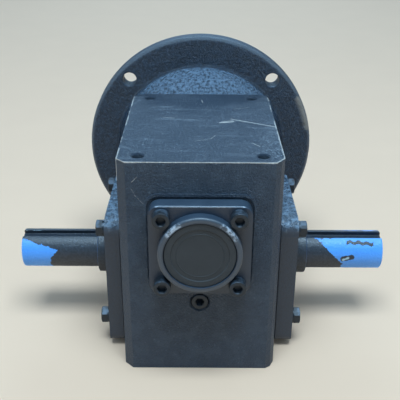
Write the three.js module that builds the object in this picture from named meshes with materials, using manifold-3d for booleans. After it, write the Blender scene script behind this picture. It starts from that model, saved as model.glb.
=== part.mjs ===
// Right-angle worm gear reducer with a double-ended output shaft and a round motor flange.
//
// Millimetres. X runs along the output shaft, Y runs along the worm from the front bearing
// cap to the motor flange, and Z is up. The origin is on the base plane, under the output
// axis, at the middle of the housing.

import * as THREE from "three";
import { mergeVertices } from "three/addons/utils/BufferGeometryUtils.js";
import Module from "manifold-3d";

const wasm = await Module();
wasm.setup();

// ---------------------------------------------------------------- driving dimensions

const WIDTH = 93.7; // housing, across the side walls
const DEPTH = 125; // housing, front face to back face
const HEIGHT = 140; // housing, base face to top face
const WORM_HEIGHT = 90.2; // worm axis above the base
const OUTPUT_HEIGHT = 51.1; // output axis above the base
const TEETH = 30; // worm wheel teeth, on a single-start worm
const SHAFT_RADIUS = 12.7; // output shaft extensions
const SEAT_RADIUS = 15.875; // output shaft through the seals and bearings
const FLANGE_RADIUS = 84.15; // motor flange rim
const MOTOR_BORE_RADIUS = 7.94; // hollow worm shaft, for the motor's shaft

const CLEAR = 0.05; // gap between faces that meet without moving
const HOLE_CLEAR = 0.4; // radial gap between a fastener and its hole
const ROUND = 20; // sides of a turned piece
const ROUND_LARGE = 40; // sides of the motor flange
const ROUND_SMALL = 12; // sides of a fastener head
const ROUND_SHANK = 8; // sides of a bolt shank or its hole
const OUTPUT_CENTRE = [0, 0, OUTPUT_HEIGHT];
const WORM_CENTRE = [0, 0, WORM_HEIGHT];
const PLUG_CENTRE = [0, 0, 49.2]; // oil level plug

// Housing
const FRONT = -DEPTH / 2;
const BACK = DEPTH / 2;
const SIDE = WIDTH / 2;
const FRONT_CHAMFER = 5.2;
const BACK_RADIUS = 8;
const FRONT_WALL = 16.5;
const BACK_WALL = 20;
const SIDE_WALL = 8.85;
const FLOOR = 10;
const ROOF = 12;
const CAVITY_RADIUS = 8;
const FOOT_HOLE_X = 35; // tapped mounting holes in the top and base faces
const FOOT_HOLE_Y = 53.2;
const FOOT_HOLE_RADIUS = 3.3;
const FOOT_HOLE_DEPTH = 14;
const FOOT_HOLE_MOUTH = 4.1;
const REAR_LIP_RADIUS = 22; // opening behind the rear bearing's seat
const COVER_TAP_DEPTH = 8; // threaded holes for the cover bolts
const CAP_TAP_DEPTH = 12; // threaded holes for the cap screws
const FLANGE_TAP_DEPTH = 15; // threaded holes for the flange screws

// Side covers
const PAD_FACE = 48.6; // machined pad on the housing side
const PAD_HALF = 38;
const PAD_RADIUS = 8;
const COVER_BACK = 49.4;
const COVER_HALF = 40.5; // half its length along Y
const COVER_TOP = OUTPUT_HEIGHT + 40.5;
const COVER_BOTTOM = 3.5;
const COVER_RADIUS = 10;
const COVER_FOOT_RADIUS = 5;
const COVER_BOLT = 32; // bolt offset from the output axis, in Y and in Z
const SPIGOT_RADIUS = 34.95;
const SPIGOT_END = 30;
const COVER_WEB_RADIUS = 22; // opening between the bearing's seat and the seal's
const SEAL_RADIUS = 25;
const SEAL_SEAT_DEPTH = 9.5;
const SEAL_CHAMFER = 0.8;
const BOLT_RADIUS = 3;
const BOLT_HEAD_FLATS = 10;
const BOLT_HEAD_HEIGHT = 4;
const WASHER_RADIUS = 5.25;
const WASHER_THICKNESS = 1.55;

// Front bearing cap
const CAP_WIDTH = 58;
const CAP_HEIGHT = 56;
const CAP_CORNER = 6;
const CAP_FACE = FRONT - 10;
const CAP_BOSS_FACE = FRONT - 16.3;
const CAP_BOSS_RADIUS = 23.9;
const CAP_SPIGOT_RADIUS = 25;
const CAP_SPIGOT_END = -52;
const CAP_WEB_RADIUS = 16.5; // opening behind the front bearing's seat
const CAP_SCREW = 21.5; // screw offset from the worm axis, in X and in Z
const CAP_SCREW_RADIUS = 3;
const CAP_SCREW_HEAD_RADIUS = 5;
const CAP_SCREW_HEAD_HEIGHT = 6;
const CAP_SCREW_SOCKET_FLATS = 5;
const CLOSURE_RADIUS = 20.5;
const CLOSURE_WALL = 1.5;
const CLOSURE_STEP_RADIUS = 14.8;

// Motor flange
const FLANGE_START = BACK + 0.6;
const FLANGE_FRONT = 88.6;
const FLANGE_BACK = 102;
const FLANGE_BOLT_CIRCLE = 149.2;
const FLANGE_HOLE_RADIUS = 5.2;
const REGISTER_RADIUS = 57.15;
const REGISTER_DEPTH = 4.5;
const FLANGE_SCREW = 26.9; // screw offset from the worm axis, in X and in Z
const FLANGE_SCREW_RADIUS = 4;
const FLANGE_SCREW_SEAT = 73;
const FLANGE_BORE_RADIUS = 16;
const BELL_FOOT_RADIUS = 47;
const BELL_MOUTH_RADIUS = 63.3;
const POCKET_FLOOR_RADIUS = 46; // round pocket that takes the motor's shaft end
const POCKET_MIDDLE_RADIUS = 51;
const POCKET_MOUTH_RADIUS = 54;
const INPUT_SEAL_RADIUS = 20;
const INPUT_SEAL_SEAT = 65;

// Bearings
const FRONT_BEARING_RADIUS = 20;
const FRONT_BEARING_BORE = 8.5;
const FRONT_BEARING_START = -74.2;
const FRONT_BEARING_END = -62.2;
const REAR_BEARING_RADIUS = 26;
const REAR_BEARING_BORE = 12.5;
const REAR_BEARING_START = 44;
const REAR_BEARING_END = 59;
const CUP_RADIUS = 29.55; // output bearing outer ring
const CONE_RADIUS = 19.2; // output bearing inner ring, small rib
const CONE_RIB = 1.6;
const CONE_WIDTH = 16;
const ROLLER_TILT = THREE.MathUtils.degToRad(14);
const ROLLER_RADIUS = 3.2;
const ROLLER_LENGTH = 10.4;
const ROLLER_PITCH = 23.6;
const ROLLER_COUNT = 10;
const ROLLER_MIDDLE = SPIGOT_END + 8;

// Gears
const MODULE = 1.8143; // 14 diametral pitch
const WHEEL_PITCH_RADIUS = (MODULE * TEETH) / 2;
const WORM_PITCH_RADIUS = WORM_HEIGHT - OUTPUT_HEIGHT - WHEEL_PITCH_RADIUS;
const ADDENDUM = MODULE;
const DEDENDUM = MODULE * 1.157;
const LEAD = Math.PI * MODULE;
const LEAD_ANGLE = Math.atan(LEAD / (2 * Math.PI * WORM_PITCH_RADIUS));
const TOOTH_THICKNESS = LEAD / 2 - 0.4;
const FLANK_SLOPE = Math.tan(THREE.MathUtils.degToRad(20));
const WORM_HALF_LENGTH = 18;
const WORM_FRONT_END = -75.6;
const WORM_CORE_RADIUS = 11;
const WORM_COLLAR_RADIUS = 15.5; // shoulder against the rear bearing
const WORM_COLLAR_START = 39;
const RING_GROOVE_DEPTH = 0.6; // groove for the retaining ring
const QUILL_END = 95;
const QUILL_BOTTOM = 47.4;
const WHEEL_HALF_WIDTH = 10;
const HUB_HALF_WIDTH = 13;
const HUB_RADIUS = 21.45;
const HUB_BORE = 16.55;
const WHEEL_KEY_BOTTOM = 13;
const WHEEL_KEY_TOP = 19.2;
const WHEEL_KEY_HALF_WIDTH = 4;
const WHEEL_KEY_HALF_LENGTH = 10.8;
const SPACER_RADIUS = 19.5;

// Output shaft
const KEYWAY_TURN = 12; // degrees that the keyways lean from +Z towards -Y
const KEYWAY_HALF_WIDTH = 3.175;
const KEYWAY_DEPTH = 3.2;
const COLLAR_RADIUS = 20;
const COLLAR_WIDTH = 3;

// Distances from the middle that differ on the two sides: the left cover is the thinner one
const RIGHT_SIDE = { coverFace: 60, shoulder: 70.3, shaftEnd: 121.2 };
const LEFT_SIDE = { coverFace: 58.5, shoulder: 67.6, shaftEnd: 118.3 };

// Oil level plug
const PLUG_RADIUS = 5.1;
const PLUG_LENGTH = 9;
const PLUG_SOCKET_FLATS = 4.76;
const PLUG_SEAT_MOUTH = 6.2;

// ---------------------------------------------------------------- materials

function finish(color, roughness, metalness) {
  return { color, roughness, metalness };
}

const FINISHES = {
  paint: finish(0x2b3138, 0.42, 0.1),
  blackFastener: finish(0x1f2429, 0.38, 0.5),
  paintedShaft: finish(0x3f7fd0, 0.4, 0.1),
  closure: finish(0x2c2f33, 0.6, 0.0),
  steel: finish(0xa7abb0, 0.3, 0.95),
  iron: finish(0x4c4f52, 0.6, 0.7),
  bronze: finish(0xb9873f, 0.35, 0.9),
  rubber: finish(0x161718, 0.75, 0.0),
  gasket: finish(0x4a4d45, 0.85, 0.0),
};

// ---------------------------------------------------------------- solid helpers

function toSolid(geometry) {
  const bare = geometry.clone();
  bare.deleteAttribute("normal");
  bare.deleteAttribute("uv");
  const merged = mergeVertices(bare);
  const corners = merged.index.array;
  const triangles = [];
  for (let i = 0; i < corners.length; i += 3) {
    const [a, b, c] = corners.slice(i, i + 3);
    if (a !== b && b !== c && c !== a) triangles.push(a, b, c);
  }
  return new wasm.Manifold(
    new wasm.Mesh({
      numProp: 3,
      vertProperties: new Float32Array(merged.attributes.position.array),
      triVerts: new Uint32Array(triangles),
    }),
  );
}

function toGeometry(solid) {
  const mesh = solid.getMesh();
  const geometry = new THREE.BufferGeometry();
  geometry.setAttribute("position", new THREE.BufferAttribute(mesh.vertProperties, 3));
  geometry.setIndex(new THREE.BufferAttribute(mesh.triVerts, 1));
  geometry.computeVertexNormals();
  return geometry;
}

function join(first, ...others) {
  return others.reduce((sum, other) => sum.add(other), first);
}

function cut(first, ...others) {
  return others.reduce((rest, other) => rest.subtract(other), first);
}

// A profile runs counter-clockwise when radius points right and the axis points up.
function isClockwise(profile) {
  let area = 0;
  profile.forEach(([radius, along], i) => {
    const [nextRadius, nextAlong] = profile[(i + 1) % profile.length];
    area += radius * nextAlong - nextRadius * along;
  });
  return area < 0;
}

const TURNING_AXES = {
  X: new THREE.Matrix4().makeRotationZ(-Math.PI / 2),
  Y: new THREE.Matrix4(),
  Z: new THREE.Matrix4().makeRotationX(Math.PI / 2),
};

// A solid of revolution from [radius, position along the axis] pairs. A profile that starts
// on the axis ends on it too, and any other profile is a closed ring.
function turned(axis, centre, profile, sides = ROUND) {
  const ordered = isClockwise(profile) ? [...profile].reverse() : profile;
  const points = ordered.map(([radius, along]) => new THREE.Vector2(radius, along));
  if (points[0].x > 0) points.push(points[0].clone());
  const geometry = new THREE.LatheGeometry(points, sides);
  geometry.applyMatrix4(TURNING_AXES[axis]);
  geometry.translate(...centre);
  return toSolid(geometry);
}

function rod(axis, centre, radius, from, to, sides = ROUND) {
  return turned(axis, centre, [[0, from], [radius, from], [radius, to], [0, to]], sides);
}

function tube(axis, centre, inner, outer, from, to, sides = ROUND) {
  return turned(axis, centre, [[inner, from], [outer, from], [outer, to], [inner, to]], sides);
}

const UNIT_X = new THREE.Vector3(1, 0, 0);
const UNIT_Y = new THREE.Vector3(0, 1, 0);
const UNIT_Z = new THREE.Vector3(0, 0, 1);
const EXTRUDING_AXES = {
  X: new THREE.Matrix4().makeBasis(UNIT_Y, UNIT_Z, UNIT_X),
  Y: new THREE.Matrix4().makeBasis(UNIT_X, UNIT_Z, UNIT_Y.clone().negate()),
  Z: new THREE.Matrix4(),
};

// A flat outline pushed along an axis. The outline is drawn in (Y, Z), (X, Z) or (X, Y).
function extruded(axis, outline, from, to, curveSegments = 4) {
  const settings = { depth: to - from, bevelEnabled: false, curveSegments };
  const geometry = new THREE.ExtrudeGeometry(outline, settings);
  geometry.applyMatrix4(EXTRUDING_AXES[axis]);
  const start = { X: [from, 0, 0], Y: [0, to, 0], Z: [0, 0, from] }[axis];
  geometry.translate(...start);
  return toSolid(geometry);
}

function roundedRectangle(centreA, centreB, halfA, halfB, radius) {
  const outline = new THREE.Shape();
  const right = centreA + halfA - radius;
  const left = centreA - halfA + radius;
  const top = centreB + halfB - radius;
  const bottom = centreB - halfB + radius;
  outline.absarc(right, bottom, radius, -Math.PI / 2, 0, false);
  outline.absarc(right, top, radius, 0, Math.PI / 2, false);
  outline.absarc(left, top, radius, Math.PI / 2, Math.PI, false);
  outline.absarc(left, bottom, radius, Math.PI, 1.5 * Math.PI, false);
  return outline;
}

function hexagon(centreA, centreB, flats, turn = 0) {
  const outline = new THREE.Shape();
  for (let i = 0; i < 6; i += 1) {
    const angle = turn + (i * Math.PI) / 3;
    const a = centreA + (flats / Math.sqrt(3)) * Math.cos(angle);
    const b = centreB + (flats / Math.sqrt(3)) * Math.sin(angle);
    if (i === 0) outline.moveTo(a, b);
    else outline.lineTo(a, b);
  }
  outline.closePath();
  return outline;
}

// The four corners of a square pattern, clockwise from the upper left.
function squarePattern(offset) {
  return [[-offset, offset], [offset, offset], [offset, -offset], [-offset, -offset]];
}

// Pieces are drawn for the right side (+X). The left side is the same piece turned half a
// turn about Z.
function facing(side, solid) {
  return side > 0 ? solid : solid.rotate([0, 0, 180]);
}

function sizesOn(side) {
  return side > 0 ? RIGHT_SIDE : LEFT_SIDE;
}

function coverBoltHoles(from, to) {
  const radius = BOLT_RADIUS + HOLE_CLEAR;
  return squarePattern(COVER_BOLT).map(([y, up]) =>
    rod("X", [0, y, OUTPUT_HEIGHT + up], radius, from, to, ROUND_SHANK),
  );
}

function capScrewHoles(from, to) {
  const radius = CAP_SCREW_RADIUS + HOLE_CLEAR;
  return squarePattern(CAP_SCREW).map(([x, up]) =>
    rod("Y", [x, 0, WORM_HEIGHT + up], radius, from, to, ROUND_SHANK),
  );
}

function flangeScrewHoles(from, to) {
  const radius = FLANGE_SCREW_RADIUS + HOLE_CLEAR;
  return squarePattern(FLANGE_SCREW).map(([x, up]) =>
    rod("Y", [x, 0, WORM_HEIGHT + up], radius, from, to, ROUND_SHANK),
  );
}

const model = new THREE.Group();

function addPiece(name, solid, finishName) {
  const material = new THREE.MeshStandardMaterial(FINISHES[finishName]);
  const mesh = new THREE.Mesh(toGeometry(solid), material);
  mesh.name = name;
  model.add(mesh);
}

// ---------------------------------------------------------------- housing

function housingOutline() {
  const outline = new THREE.Shape();
  outline.moveTo(-SIDE + FRONT_CHAMFER, FRONT);
  outline.lineTo(SIDE - FRONT_CHAMFER, FRONT);
  outline.lineTo(SIDE, FRONT + FRONT_CHAMFER);
  outline.absarc(SIDE - BACK_RADIUS, BACK - BACK_RADIUS, BACK_RADIUS, 0, Math.PI / 2, false);
  outline.absarc(-SIDE + BACK_RADIUS, BACK - BACK_RADIUS, BACK_RADIUS, Math.PI / 2, Math.PI, false);
  outline.lineTo(-SIDE, FRONT + FRONT_CHAMFER);
  outline.closePath();
  return outline;
}

function footHole(x, y, face, inward) {
  const bottom = face + inward * FOOT_HOLE_DEPTH;
  const chamfer = FOOT_HOLE_MOUTH - FOOT_HOLE_RADIUS;
  return turned("Z", [x, y, 0], [
    [0, bottom],
    [FOOT_HOLE_RADIUS, bottom],
    [FOOT_HOLE_RADIUS, face + inward * chamfer],
    [FOOT_HOLE_MOUTH, face],
    [FOOT_HOLE_MOUTH, face - inward],
    [0, face - inward],
  ], ROUND_SMALL);
}

function housingHoles() {
  const holes = [];
  for (const x of [-FOOT_HOLE_X, FOOT_HOLE_X]) {
    for (const y of [-FOOT_HOLE_Y, FOOT_HOLE_Y]) {
      holes.push(footHole(x, y, HEIGHT, -1), footHole(x, y, 0, 1));
    }
  }
  holes.push(...coverBoltHoles(PAD_FACE - COVER_TAP_DEPTH, PAD_FACE + 1));
  holes.push(...coverBoltHoles(-PAD_FACE - 1, -PAD_FACE + COVER_TAP_DEPTH));
  holes.push(...capScrewHoles(FRONT - 1, FRONT + CAP_TAP_DEPTH));
  holes.push(...flangeScrewHoles(BACK - FLANGE_TAP_DEPTH, BACK + 1));
  return holes;
}

function makeHousing() {
  const block = extruded("Z", housingOutline(), 0, HEIGHT);
  const pad = roundedRectangle(0, OUTPUT_HEIGHT, PAD_HALF, PAD_HALF, PAD_RADIUS);
  const pads = extruded("X", pad, -PAD_FACE, PAD_FACE);
  const cavityBack = BACK - BACK_WALL;
  const cavityFront = FRONT + FRONT_WALL;
  const cavityOutline = roundedRectangle(
    0,
    (cavityFront + cavityBack) / 2,
    SIDE - SIDE_WALL,
    (cavityBack - cavityFront) / 2,
    CAVITY_RADIUS,
  );
  const cavity = extruded("Z", cavityOutline, FLOOR, HEIGHT - ROOF);
  const outputBore = rod("X", OUTPUT_CENTRE, SPIGOT_RADIUS + CLEAR, -PAD_FACE - 1, PAD_FACE + 1);
  const frontBore = rod("Y", WORM_CENTRE, CAP_SPIGOT_RADIUS + CLEAR, FRONT - 1, cavityFront + 1);
  const seatRadius = REAR_BEARING_RADIUS + CLEAR;
  const rearSeat = rod("Y", WORM_CENTRE, seatRadius, REAR_BEARING_START - CLEAR, BACK + 1);
  const rearLip = rod("Y", WORM_CENTRE, REAR_LIP_RADIUS, cavityBack - 1, BACK);
  const plugHoleRadius = PLUG_RADIUS + HOLE_CLEAR;
  const plugHole = rod("Y", PLUG_CENTRE, plugHoleRadius, FRONT - 1, cavityFront + 1);
  const plugSeat = turned("Y", PLUG_CENTRE, [
    [0, FRONT - 1],
    [PLUG_SEAT_MOUTH, FRONT - 1],
    [plugHoleRadius, FRONT + 0.6],
    [0, FRONT + 0.6],
  ]);
  return cut(
    join(block, pads),
    cavity,
    outputBore,
    frontBore,
    rearSeat,
    rearLip,
    plugHole,
    plugSeat,
    ...housingHoles(),
  );
}

// ---------------------------------------------------------------- fasteners

// A socket-head cap screw along Y. The head sits on `seat` and points to -direction.
function socketScrew(x, z, seat, direction, size) {
  const { shank, head, headHeight, flats, length } = size;
  const top = seat - direction * headHeight;
  const cap = turned("Y", [x, 0, z], [
    [0, top],
    [head - 0.5, top],
    [head, top + direction * 0.5],
    [head, seat],
    [0, seat],
  ], ROUND_SMALL);
  const [low, high] = [seat - direction, seat + direction * length].sort((a, b) => a - b);
  const body = join(cap, rod("Y", [x, 0, z], shank, low, high, ROUND_SHANK));
  const bottom = top + direction * headHeight * 0.55;
  const [from, to] = [Math.min(top - direction, bottom), Math.max(top - direction, bottom)];
  return cut(body, extruded("Y", hexagon(x, z, flats), from, to));
}

function hexBolt(side, y, z) {
  const seat = sizesOn(side).coverFace + CLEAR + WASHER_THICKNESS + CLEAR;
  const top = seat + BOLT_HEAD_HEIGHT;
  const head = extruded("X", hexagon(y, z, BOLT_HEAD_FLATS, Math.PI / 6), seat, top);
  const corner = BOLT_HEAD_FLATS / Math.sqrt(3);
  const rounding = turned("X", [0, y, z], [
    [0, seat - 1],
    [corner + 1, seat - 1],
    [corner + 1, top - 1.1],
    [corner - 0.8, top + CLEAR],
    [0, top + CLEAR],
  ], ROUND_SMALL);
  const end = PAD_FACE - 6.5;
  const shank = rod("X", [0, y, z], BOLT_RADIUS, end, seat + 1, ROUND_SHANK);
  return facing(side, join(head.intersect(rounding), shank));
}

// A split spring washer: a ring with a narrow gap.
function lockWasher(side, y, z, turn) {
  const inner = BOLT_RADIUS + HOLE_CLEAR;
  const gap = 0.12;
  const outline = new THREE.Shape();
  outline.absarc(y, z, WASHER_RADIUS, turn + gap, turn + 2 * Math.PI - gap, false);
  outline.absarc(y, z, inner, turn + 2 * Math.PI - gap, turn + gap, true);
  outline.closePath();
  const back = sizesOn(side).coverFace + CLEAR;
  return facing(side, extruded("X", outline, back, back + WASHER_THICKNESS, 7));
}

// ---------------------------------------------------------------- side covers and seals

// The plate reaches further down from the shaft than it does up.
function coverOutline() {
  const across = COVER_HALF - COVER_RADIUS;
  const acrossFoot = COVER_HALF - COVER_FOOT_RADIUS;
  const upper = COVER_TOP - COVER_RADIUS;
  const lower = COVER_BOTTOM + COVER_FOOT_RADIUS;
  const outline = new THREE.Shape();
  outline.absarc(acrossFoot, lower, COVER_FOOT_RADIUS, -Math.PI / 2, 0, false);
  outline.absarc(across, upper, COVER_RADIUS, 0, Math.PI / 2, false);
  outline.absarc(-across, upper, COVER_RADIUS, Math.PI / 2, Math.PI, false);
  outline.absarc(-acrossFoot, lower, COVER_FOOT_RADIUS, Math.PI, 1.5 * Math.PI, false);
  return outline;
}

function makeSideCover(side) {
  const face = sizesOn(side).coverFace;
  const sealSeat = face - SEAL_SEAT_DEPTH;
  const sealBore = SEAL_RADIUS + CLEAR;
  const plate = extruded("X", coverOutline(), COVER_BACK, face);
  const spigot = rod("X", OUTPUT_CENTRE, SPIGOT_RADIUS, SPIGOT_END, COVER_BACK + 1);
  const bore = turned("X", OUTPUT_CENTRE, [
    [0, SPIGOT_END - 1],
    [CUP_RADIUS + CLEAR, SPIGOT_END - 1],
    [CUP_RADIUS + CLEAR, SPIGOT_END + CONE_WIDTH + HOLE_CLEAR],
    [COVER_WEB_RADIUS, SPIGOT_END + CONE_WIDTH + HOLE_CLEAR],
    [COVER_WEB_RADIUS, sealSeat],
    [sealBore, sealSeat],
    [sealBore, face - SEAL_CHAMFER],
    [sealBore + SEAL_CHAMFER, face],
    [sealBore + SEAL_CHAMFER, face + 1],
    [0, face + 1],
  ]);
  const holes = coverBoltHoles(COVER_BACK - 1, face + 1);
  return facing(side, cut(join(plate, spigot), bore, ...holes));
}

function makeCoverGasket(side) {
  const outline = roundedRectangle(0, OUTPUT_HEIGHT, PAD_HALF, PAD_HALF, PAD_RADIUS);
  const from = PAD_FACE + CLEAR;
  const to = COVER_BACK - CLEAR;
  const bore = rod("X", OUTPUT_CENTRE, SPIGOT_RADIUS + HOLE_CLEAR, from - 1, to + 1);
  const sheet = extruded("X", outline, from, to);
  return facing(side, cut(sheet, bore, ...coverBoltHoles(from - 1, to + 1)));
}

// A lip seal: a ring with a groove behind its lip, open towards the gear case.
function lipSeal(axis, centre, shaft, outer, inside, outside) {
  const wall = 1.6;
  const flange = 2;
  return turned(axis, centre, [
    [outer, outside],
    [outer, inside],
    [outer - wall, inside],
    [outer - wall, outside - flange],
    [shaft + 0.25, inside + flange],
    [shaft + 1.2, outside],
  ]);
}

function outputSeal(side) {
  const face = sizesOn(side).coverFace;
  const inside = face - SEAL_SEAT_DEPTH + 0.5;
  return facing(side, lipSeal("X", OUTPUT_CENTRE, SEAT_RADIUS, SEAL_RADIUS, inside, face - 1));
}

// ---------------------------------------------------------------- front bearing cap

function capOutline() {
  return roundedRectangle(0, WORM_HEIGHT, CAP_WIDTH / 2, CAP_HEIGHT / 2, CAP_CORNER);
}

function makeFrontCap() {
  const plateBack = FRONT - 0.6;
  const plate = extruded("Y", capOutline(), CAP_FACE, plateBack);
  const shell = turned("Y", WORM_CENTRE, [
    [0, CAP_BOSS_FACE],
    [CAP_BOSS_RADIUS - 0.8, CAP_BOSS_FACE],
    [CAP_BOSS_RADIUS, CAP_BOSS_FACE + 0.8],
    [CAP_BOSS_RADIUS, plateBack - 1],
    [CAP_SPIGOT_RADIUS, plateBack - 1],
    [CAP_SPIGOT_RADIUS, CAP_SPIGOT_END],
    [0, CAP_SPIGOT_END],
  ]);
  const bore = turned("Y", WORM_CENTRE, [
    [0, CAP_BOSS_FACE - 1],
    [CLOSURE_RADIUS + CLEAR, CAP_BOSS_FACE - 1],
    [CLOSURE_RADIUS + CLEAR, FRONT_BEARING_START - 0.1],
    [FRONT_BEARING_RADIUS + CLEAR, FRONT_BEARING_START - 0.1],
    [FRONT_BEARING_RADIUS + CLEAR, FRONT_BEARING_END + 0.3],
    [CAP_WEB_RADIUS, FRONT_BEARING_END + 0.3],
    [CAP_WEB_RADIUS, CAP_SPIGOT_END + 1],
    [0, CAP_SPIGOT_END + 1],
  ]);
  return cut(join(plate, shell), bore, ...capScrewHoles(CAP_FACE - 1, plateBack + 1));
}

function makeCapGasket() {
  const from = FRONT - 0.55;
  const to = FRONT - CLEAR;
  const sheet = extruded("Y", capOutline(), from, to);
  const bore = rod("Y", WORM_CENTRE, CAP_SPIGOT_RADIUS + HOLE_CLEAR, from - 1, to + 1);
  return cut(sheet, bore, ...capScrewHoles(from - 1, to + 1));
}

// A pressed-in cup with a low step on its face.
function makeClosure() {
  const face = CAP_BOSS_FACE + 0.5;
  const back = FRONT_BEARING_START - 0.2;
  return turned("Y", WORM_CENTRE, [
    [0, face + 0.5],
    [CLOSURE_STEP_RADIUS, face + 0.5],
    [CLOSURE_STEP_RADIUS + 0.6, face],
    [CLOSURE_RADIUS - 0.5, face],
    [CLOSURE_RADIUS, face + 0.5],
    [CLOSURE_RADIUS, back],
    [CLOSURE_RADIUS - CLOSURE_WALL, back],
    [CLOSURE_RADIUS - CLOSURE_WALL, face + 2],
    [0, face + 2],
  ]);
}

function makeOilPlug() {
  const face = FRONT + 0.1;
  const body = turned("Y", PLUG_CENTRE, [
    [0, face],
    [PLUG_RADIUS - 0.7, face],
    [PLUG_RADIUS, face + 0.7],
    [PLUG_RADIUS, face + PLUG_LENGTH],
    [0, face + PLUG_LENGTH],
  ]);
  const socket = extruded("Y", hexagon(0, PLUG_CENTRE[2], PLUG_SOCKET_FLATS), face - 1, face + 5);
  return cut(body, socket);
}

// ---------------------------------------------------------------- motor flange

// The bell swells from the gearbox face to the flange in one convex sweep.
function bellProfile() {
  const sweep = new THREE.CubicBezierCurve(
    new THREE.Vector2(BELL_FOOT_RADIUS, FLANGE_START),
    new THREE.Vector2(52.5, 64.5),
    new THREE.Vector2(61, 74),
    new THREE.Vector2(BELL_MOUTH_RADIUS, FLANGE_FRONT - 0.6),
  );
  return sweep.getPoints(5).map((point) => [point.x, point.y]);
}

function motorHoles() {
  const from = FLANGE_FRONT - 1;
  const to = FLANGE_BACK + 1;
  return squarePattern((FLANGE_BOLT_CIRCLE / 2) * Math.SQRT1_2).map(([x, up]) =>
    rod("Y", [x, 0, WORM_HEIGHT + up], FLANGE_HOLE_RADIUS, from, to, ROUND_SMALL),
  );
}

function makeInputFlange() {
  const rim = 3.2;
  const pilotEnd = REAR_BEARING_END + 0.25;
  const outside = turned("Y", WORM_CENTRE, [
    [0, pilotEnd],
    [REAR_BEARING_RADIUS - 0.5, pilotEnd],
    [REAR_BEARING_RADIUS - 0.5, FLANGE_START],
    ...bellProfile(),
    [BELL_MOUTH_RADIUS + 1.7, FLANGE_FRONT],
    [FLANGE_RADIUS - rim, FLANGE_FRONT],
    [FLANGE_RADIUS - 0.9, FLANGE_FRONT + 1],
    [FLANGE_RADIUS, FLANGE_FRONT + rim],
    [FLANGE_RADIUS, FLANGE_BACK - 1],
    [FLANGE_RADIUS - 1, FLANGE_BACK],
    [0, FLANGE_BACK],
  ], ROUND_LARGE);
  const inside = turned("Y", WORM_CENTRE, [
    [0, REAR_BEARING_END - 1],
    [FLANGE_BORE_RADIUS, REAR_BEARING_END - 1],
    [FLANGE_BORE_RADIUS, INPUT_SEAL_SEAT],
    [INPUT_SEAL_RADIUS + CLEAR, INPUT_SEAL_SEAT],
    [INPUT_SEAL_RADIUS + CLEAR, FLANGE_SCREW_SEAT],
    [POCKET_FLOOR_RADIUS, FLANGE_SCREW_SEAT],
    [POCKET_MIDDLE_RADIUS, FLANGE_SCREW_SEAT + 8],
    [POCKET_MOUTH_RADIUS, FLANGE_BACK - REGISTER_DEPTH],
    [REGISTER_RADIUS, FLANGE_BACK - REGISTER_DEPTH],
    [REGISTER_RADIUS, FLANGE_BACK + 1],
    [0, FLANGE_BACK + 1],
  ]);
  const screwHoles = flangeScrewHoles(REAR_BEARING_END, FLANGE_SCREW_SEAT + 1);
  return cut(outside, inside, ...motorHoles(), ...screwHoles);
}

function makeFlangeGasket() {
  const from = BACK + CLEAR;
  const to = FLANGE_START - CLEAR;
  const outer = BELL_FOOT_RADIUS - 1.5;
  const ring = tube("Y", WORM_CENTRE, REAR_BEARING_RADIUS + HOLE_CLEAR, outer, from, to);
  return cut(ring, ...flangeScrewHoles(from - 1, to + 1));
}

// ---------------------------------------------------------------- bearings

// The two rings of a deep-groove ball bearing, with a groove for the balls in each.
function ballBearingRings(size) {
  const { centre, bore, outer, from, to, pitch, ball } = size;
  const middle = (from + to) / 2;
  const landInner = pitch - ball * 0.3;
  const landOuter = pitch + ball * 0.34;
  const groove = ball * 0.48;
  const innerRing = turned("Y", centre, [
    [bore, from],
    [landInner, from],
    [landInner, middle - groove],
    [pitch - ball / 2 - 0.35, middle],
    [landInner, middle + groove],
    [landInner, to],
    [bore, to],
  ]);
  const outerRing = turned("Y", centre, [
    [outer, from],
    [outer, to],
    [landOuter, to],
    [landOuter, middle + groove],
    [pitch + ball / 2 + 0.6, middle],
    [landOuter, middle - groove],
    [landOuter, from],
  ]);
  return { innerRing, outerRing };
}

// The balls with the cage that keeps them apart, which travel round together.
function ballSet(size) {
  const { centre, from, to, pitch, ball, count } = size;
  const middle = (from + to) / 2;
  const half = ball * 0.22;
  let set = tube("Y", centre, pitch - 0.6, pitch + 0.6, middle - half, middle + half, count);
  for (let i = 0; i < count; i += 1) {
    const angle = (i * 2 * Math.PI) / count;
    const sphere = new THREE.SphereGeometry(ball / 2 - 0.3, 8, 4);
    sphere.translate(pitch * Math.sin(angle), middle, WORM_HEIGHT + pitch * Math.cos(angle));
    set = set.add(toSolid(sphere));
  }
  return set;
}

// The inner ring of a tapered roller bearing on the output shaft, with a rib at each end
// of the rollers' track.
function outputCone(side) {
  const slope = Math.tan(ROLLER_TILT);
  const track = ROLLER_PITCH - ROLLER_RADIUS / Math.cos(ROLLER_TILT) - 0.3;
  const reach = 6.2;
  const largeRib = track + slope * 7 + CONE_RIB;
  const end = SPIGOT_END + CONE_WIDTH;
  const ring = turned("X", OUTPUT_CENTRE, [
    [SEAT_RADIUS + CLEAR, SPIGOT_END],
    [largeRib, SPIGOT_END],
    [largeRib, SPIGOT_END + CONE_RIB],
    [track + slope * reach, SPIGOT_END + CONE_RIB],
    [track - slope * reach, end - CONE_RIB],
    [CONE_RADIUS, end - CONE_RIB],
    [CONE_RADIUS, end],
    [SEAT_RADIUS + CLEAR, end],
  ]);
  return facing(side, ring);
}

function outputCup(side) {
  const slope = Math.tan(ROLLER_TILT);
  const track = ROLLER_PITCH + ROLLER_RADIUS / Math.cos(ROLLER_TILT) + 0.6;
  const from = SPIGOT_END + 2;
  const to = SPIGOT_END + 16.3;
  const ring = turned("X", OUTPUT_CENTRE, [
    [CUP_RADIUS, from],
    [CUP_RADIUS, to],
    [track - slope * (to - ROLLER_MIDDLE), to],
    [track - slope * (from - ROLLER_MIDDLE), from],
  ]);
  return facing(side, ring);
}

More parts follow.
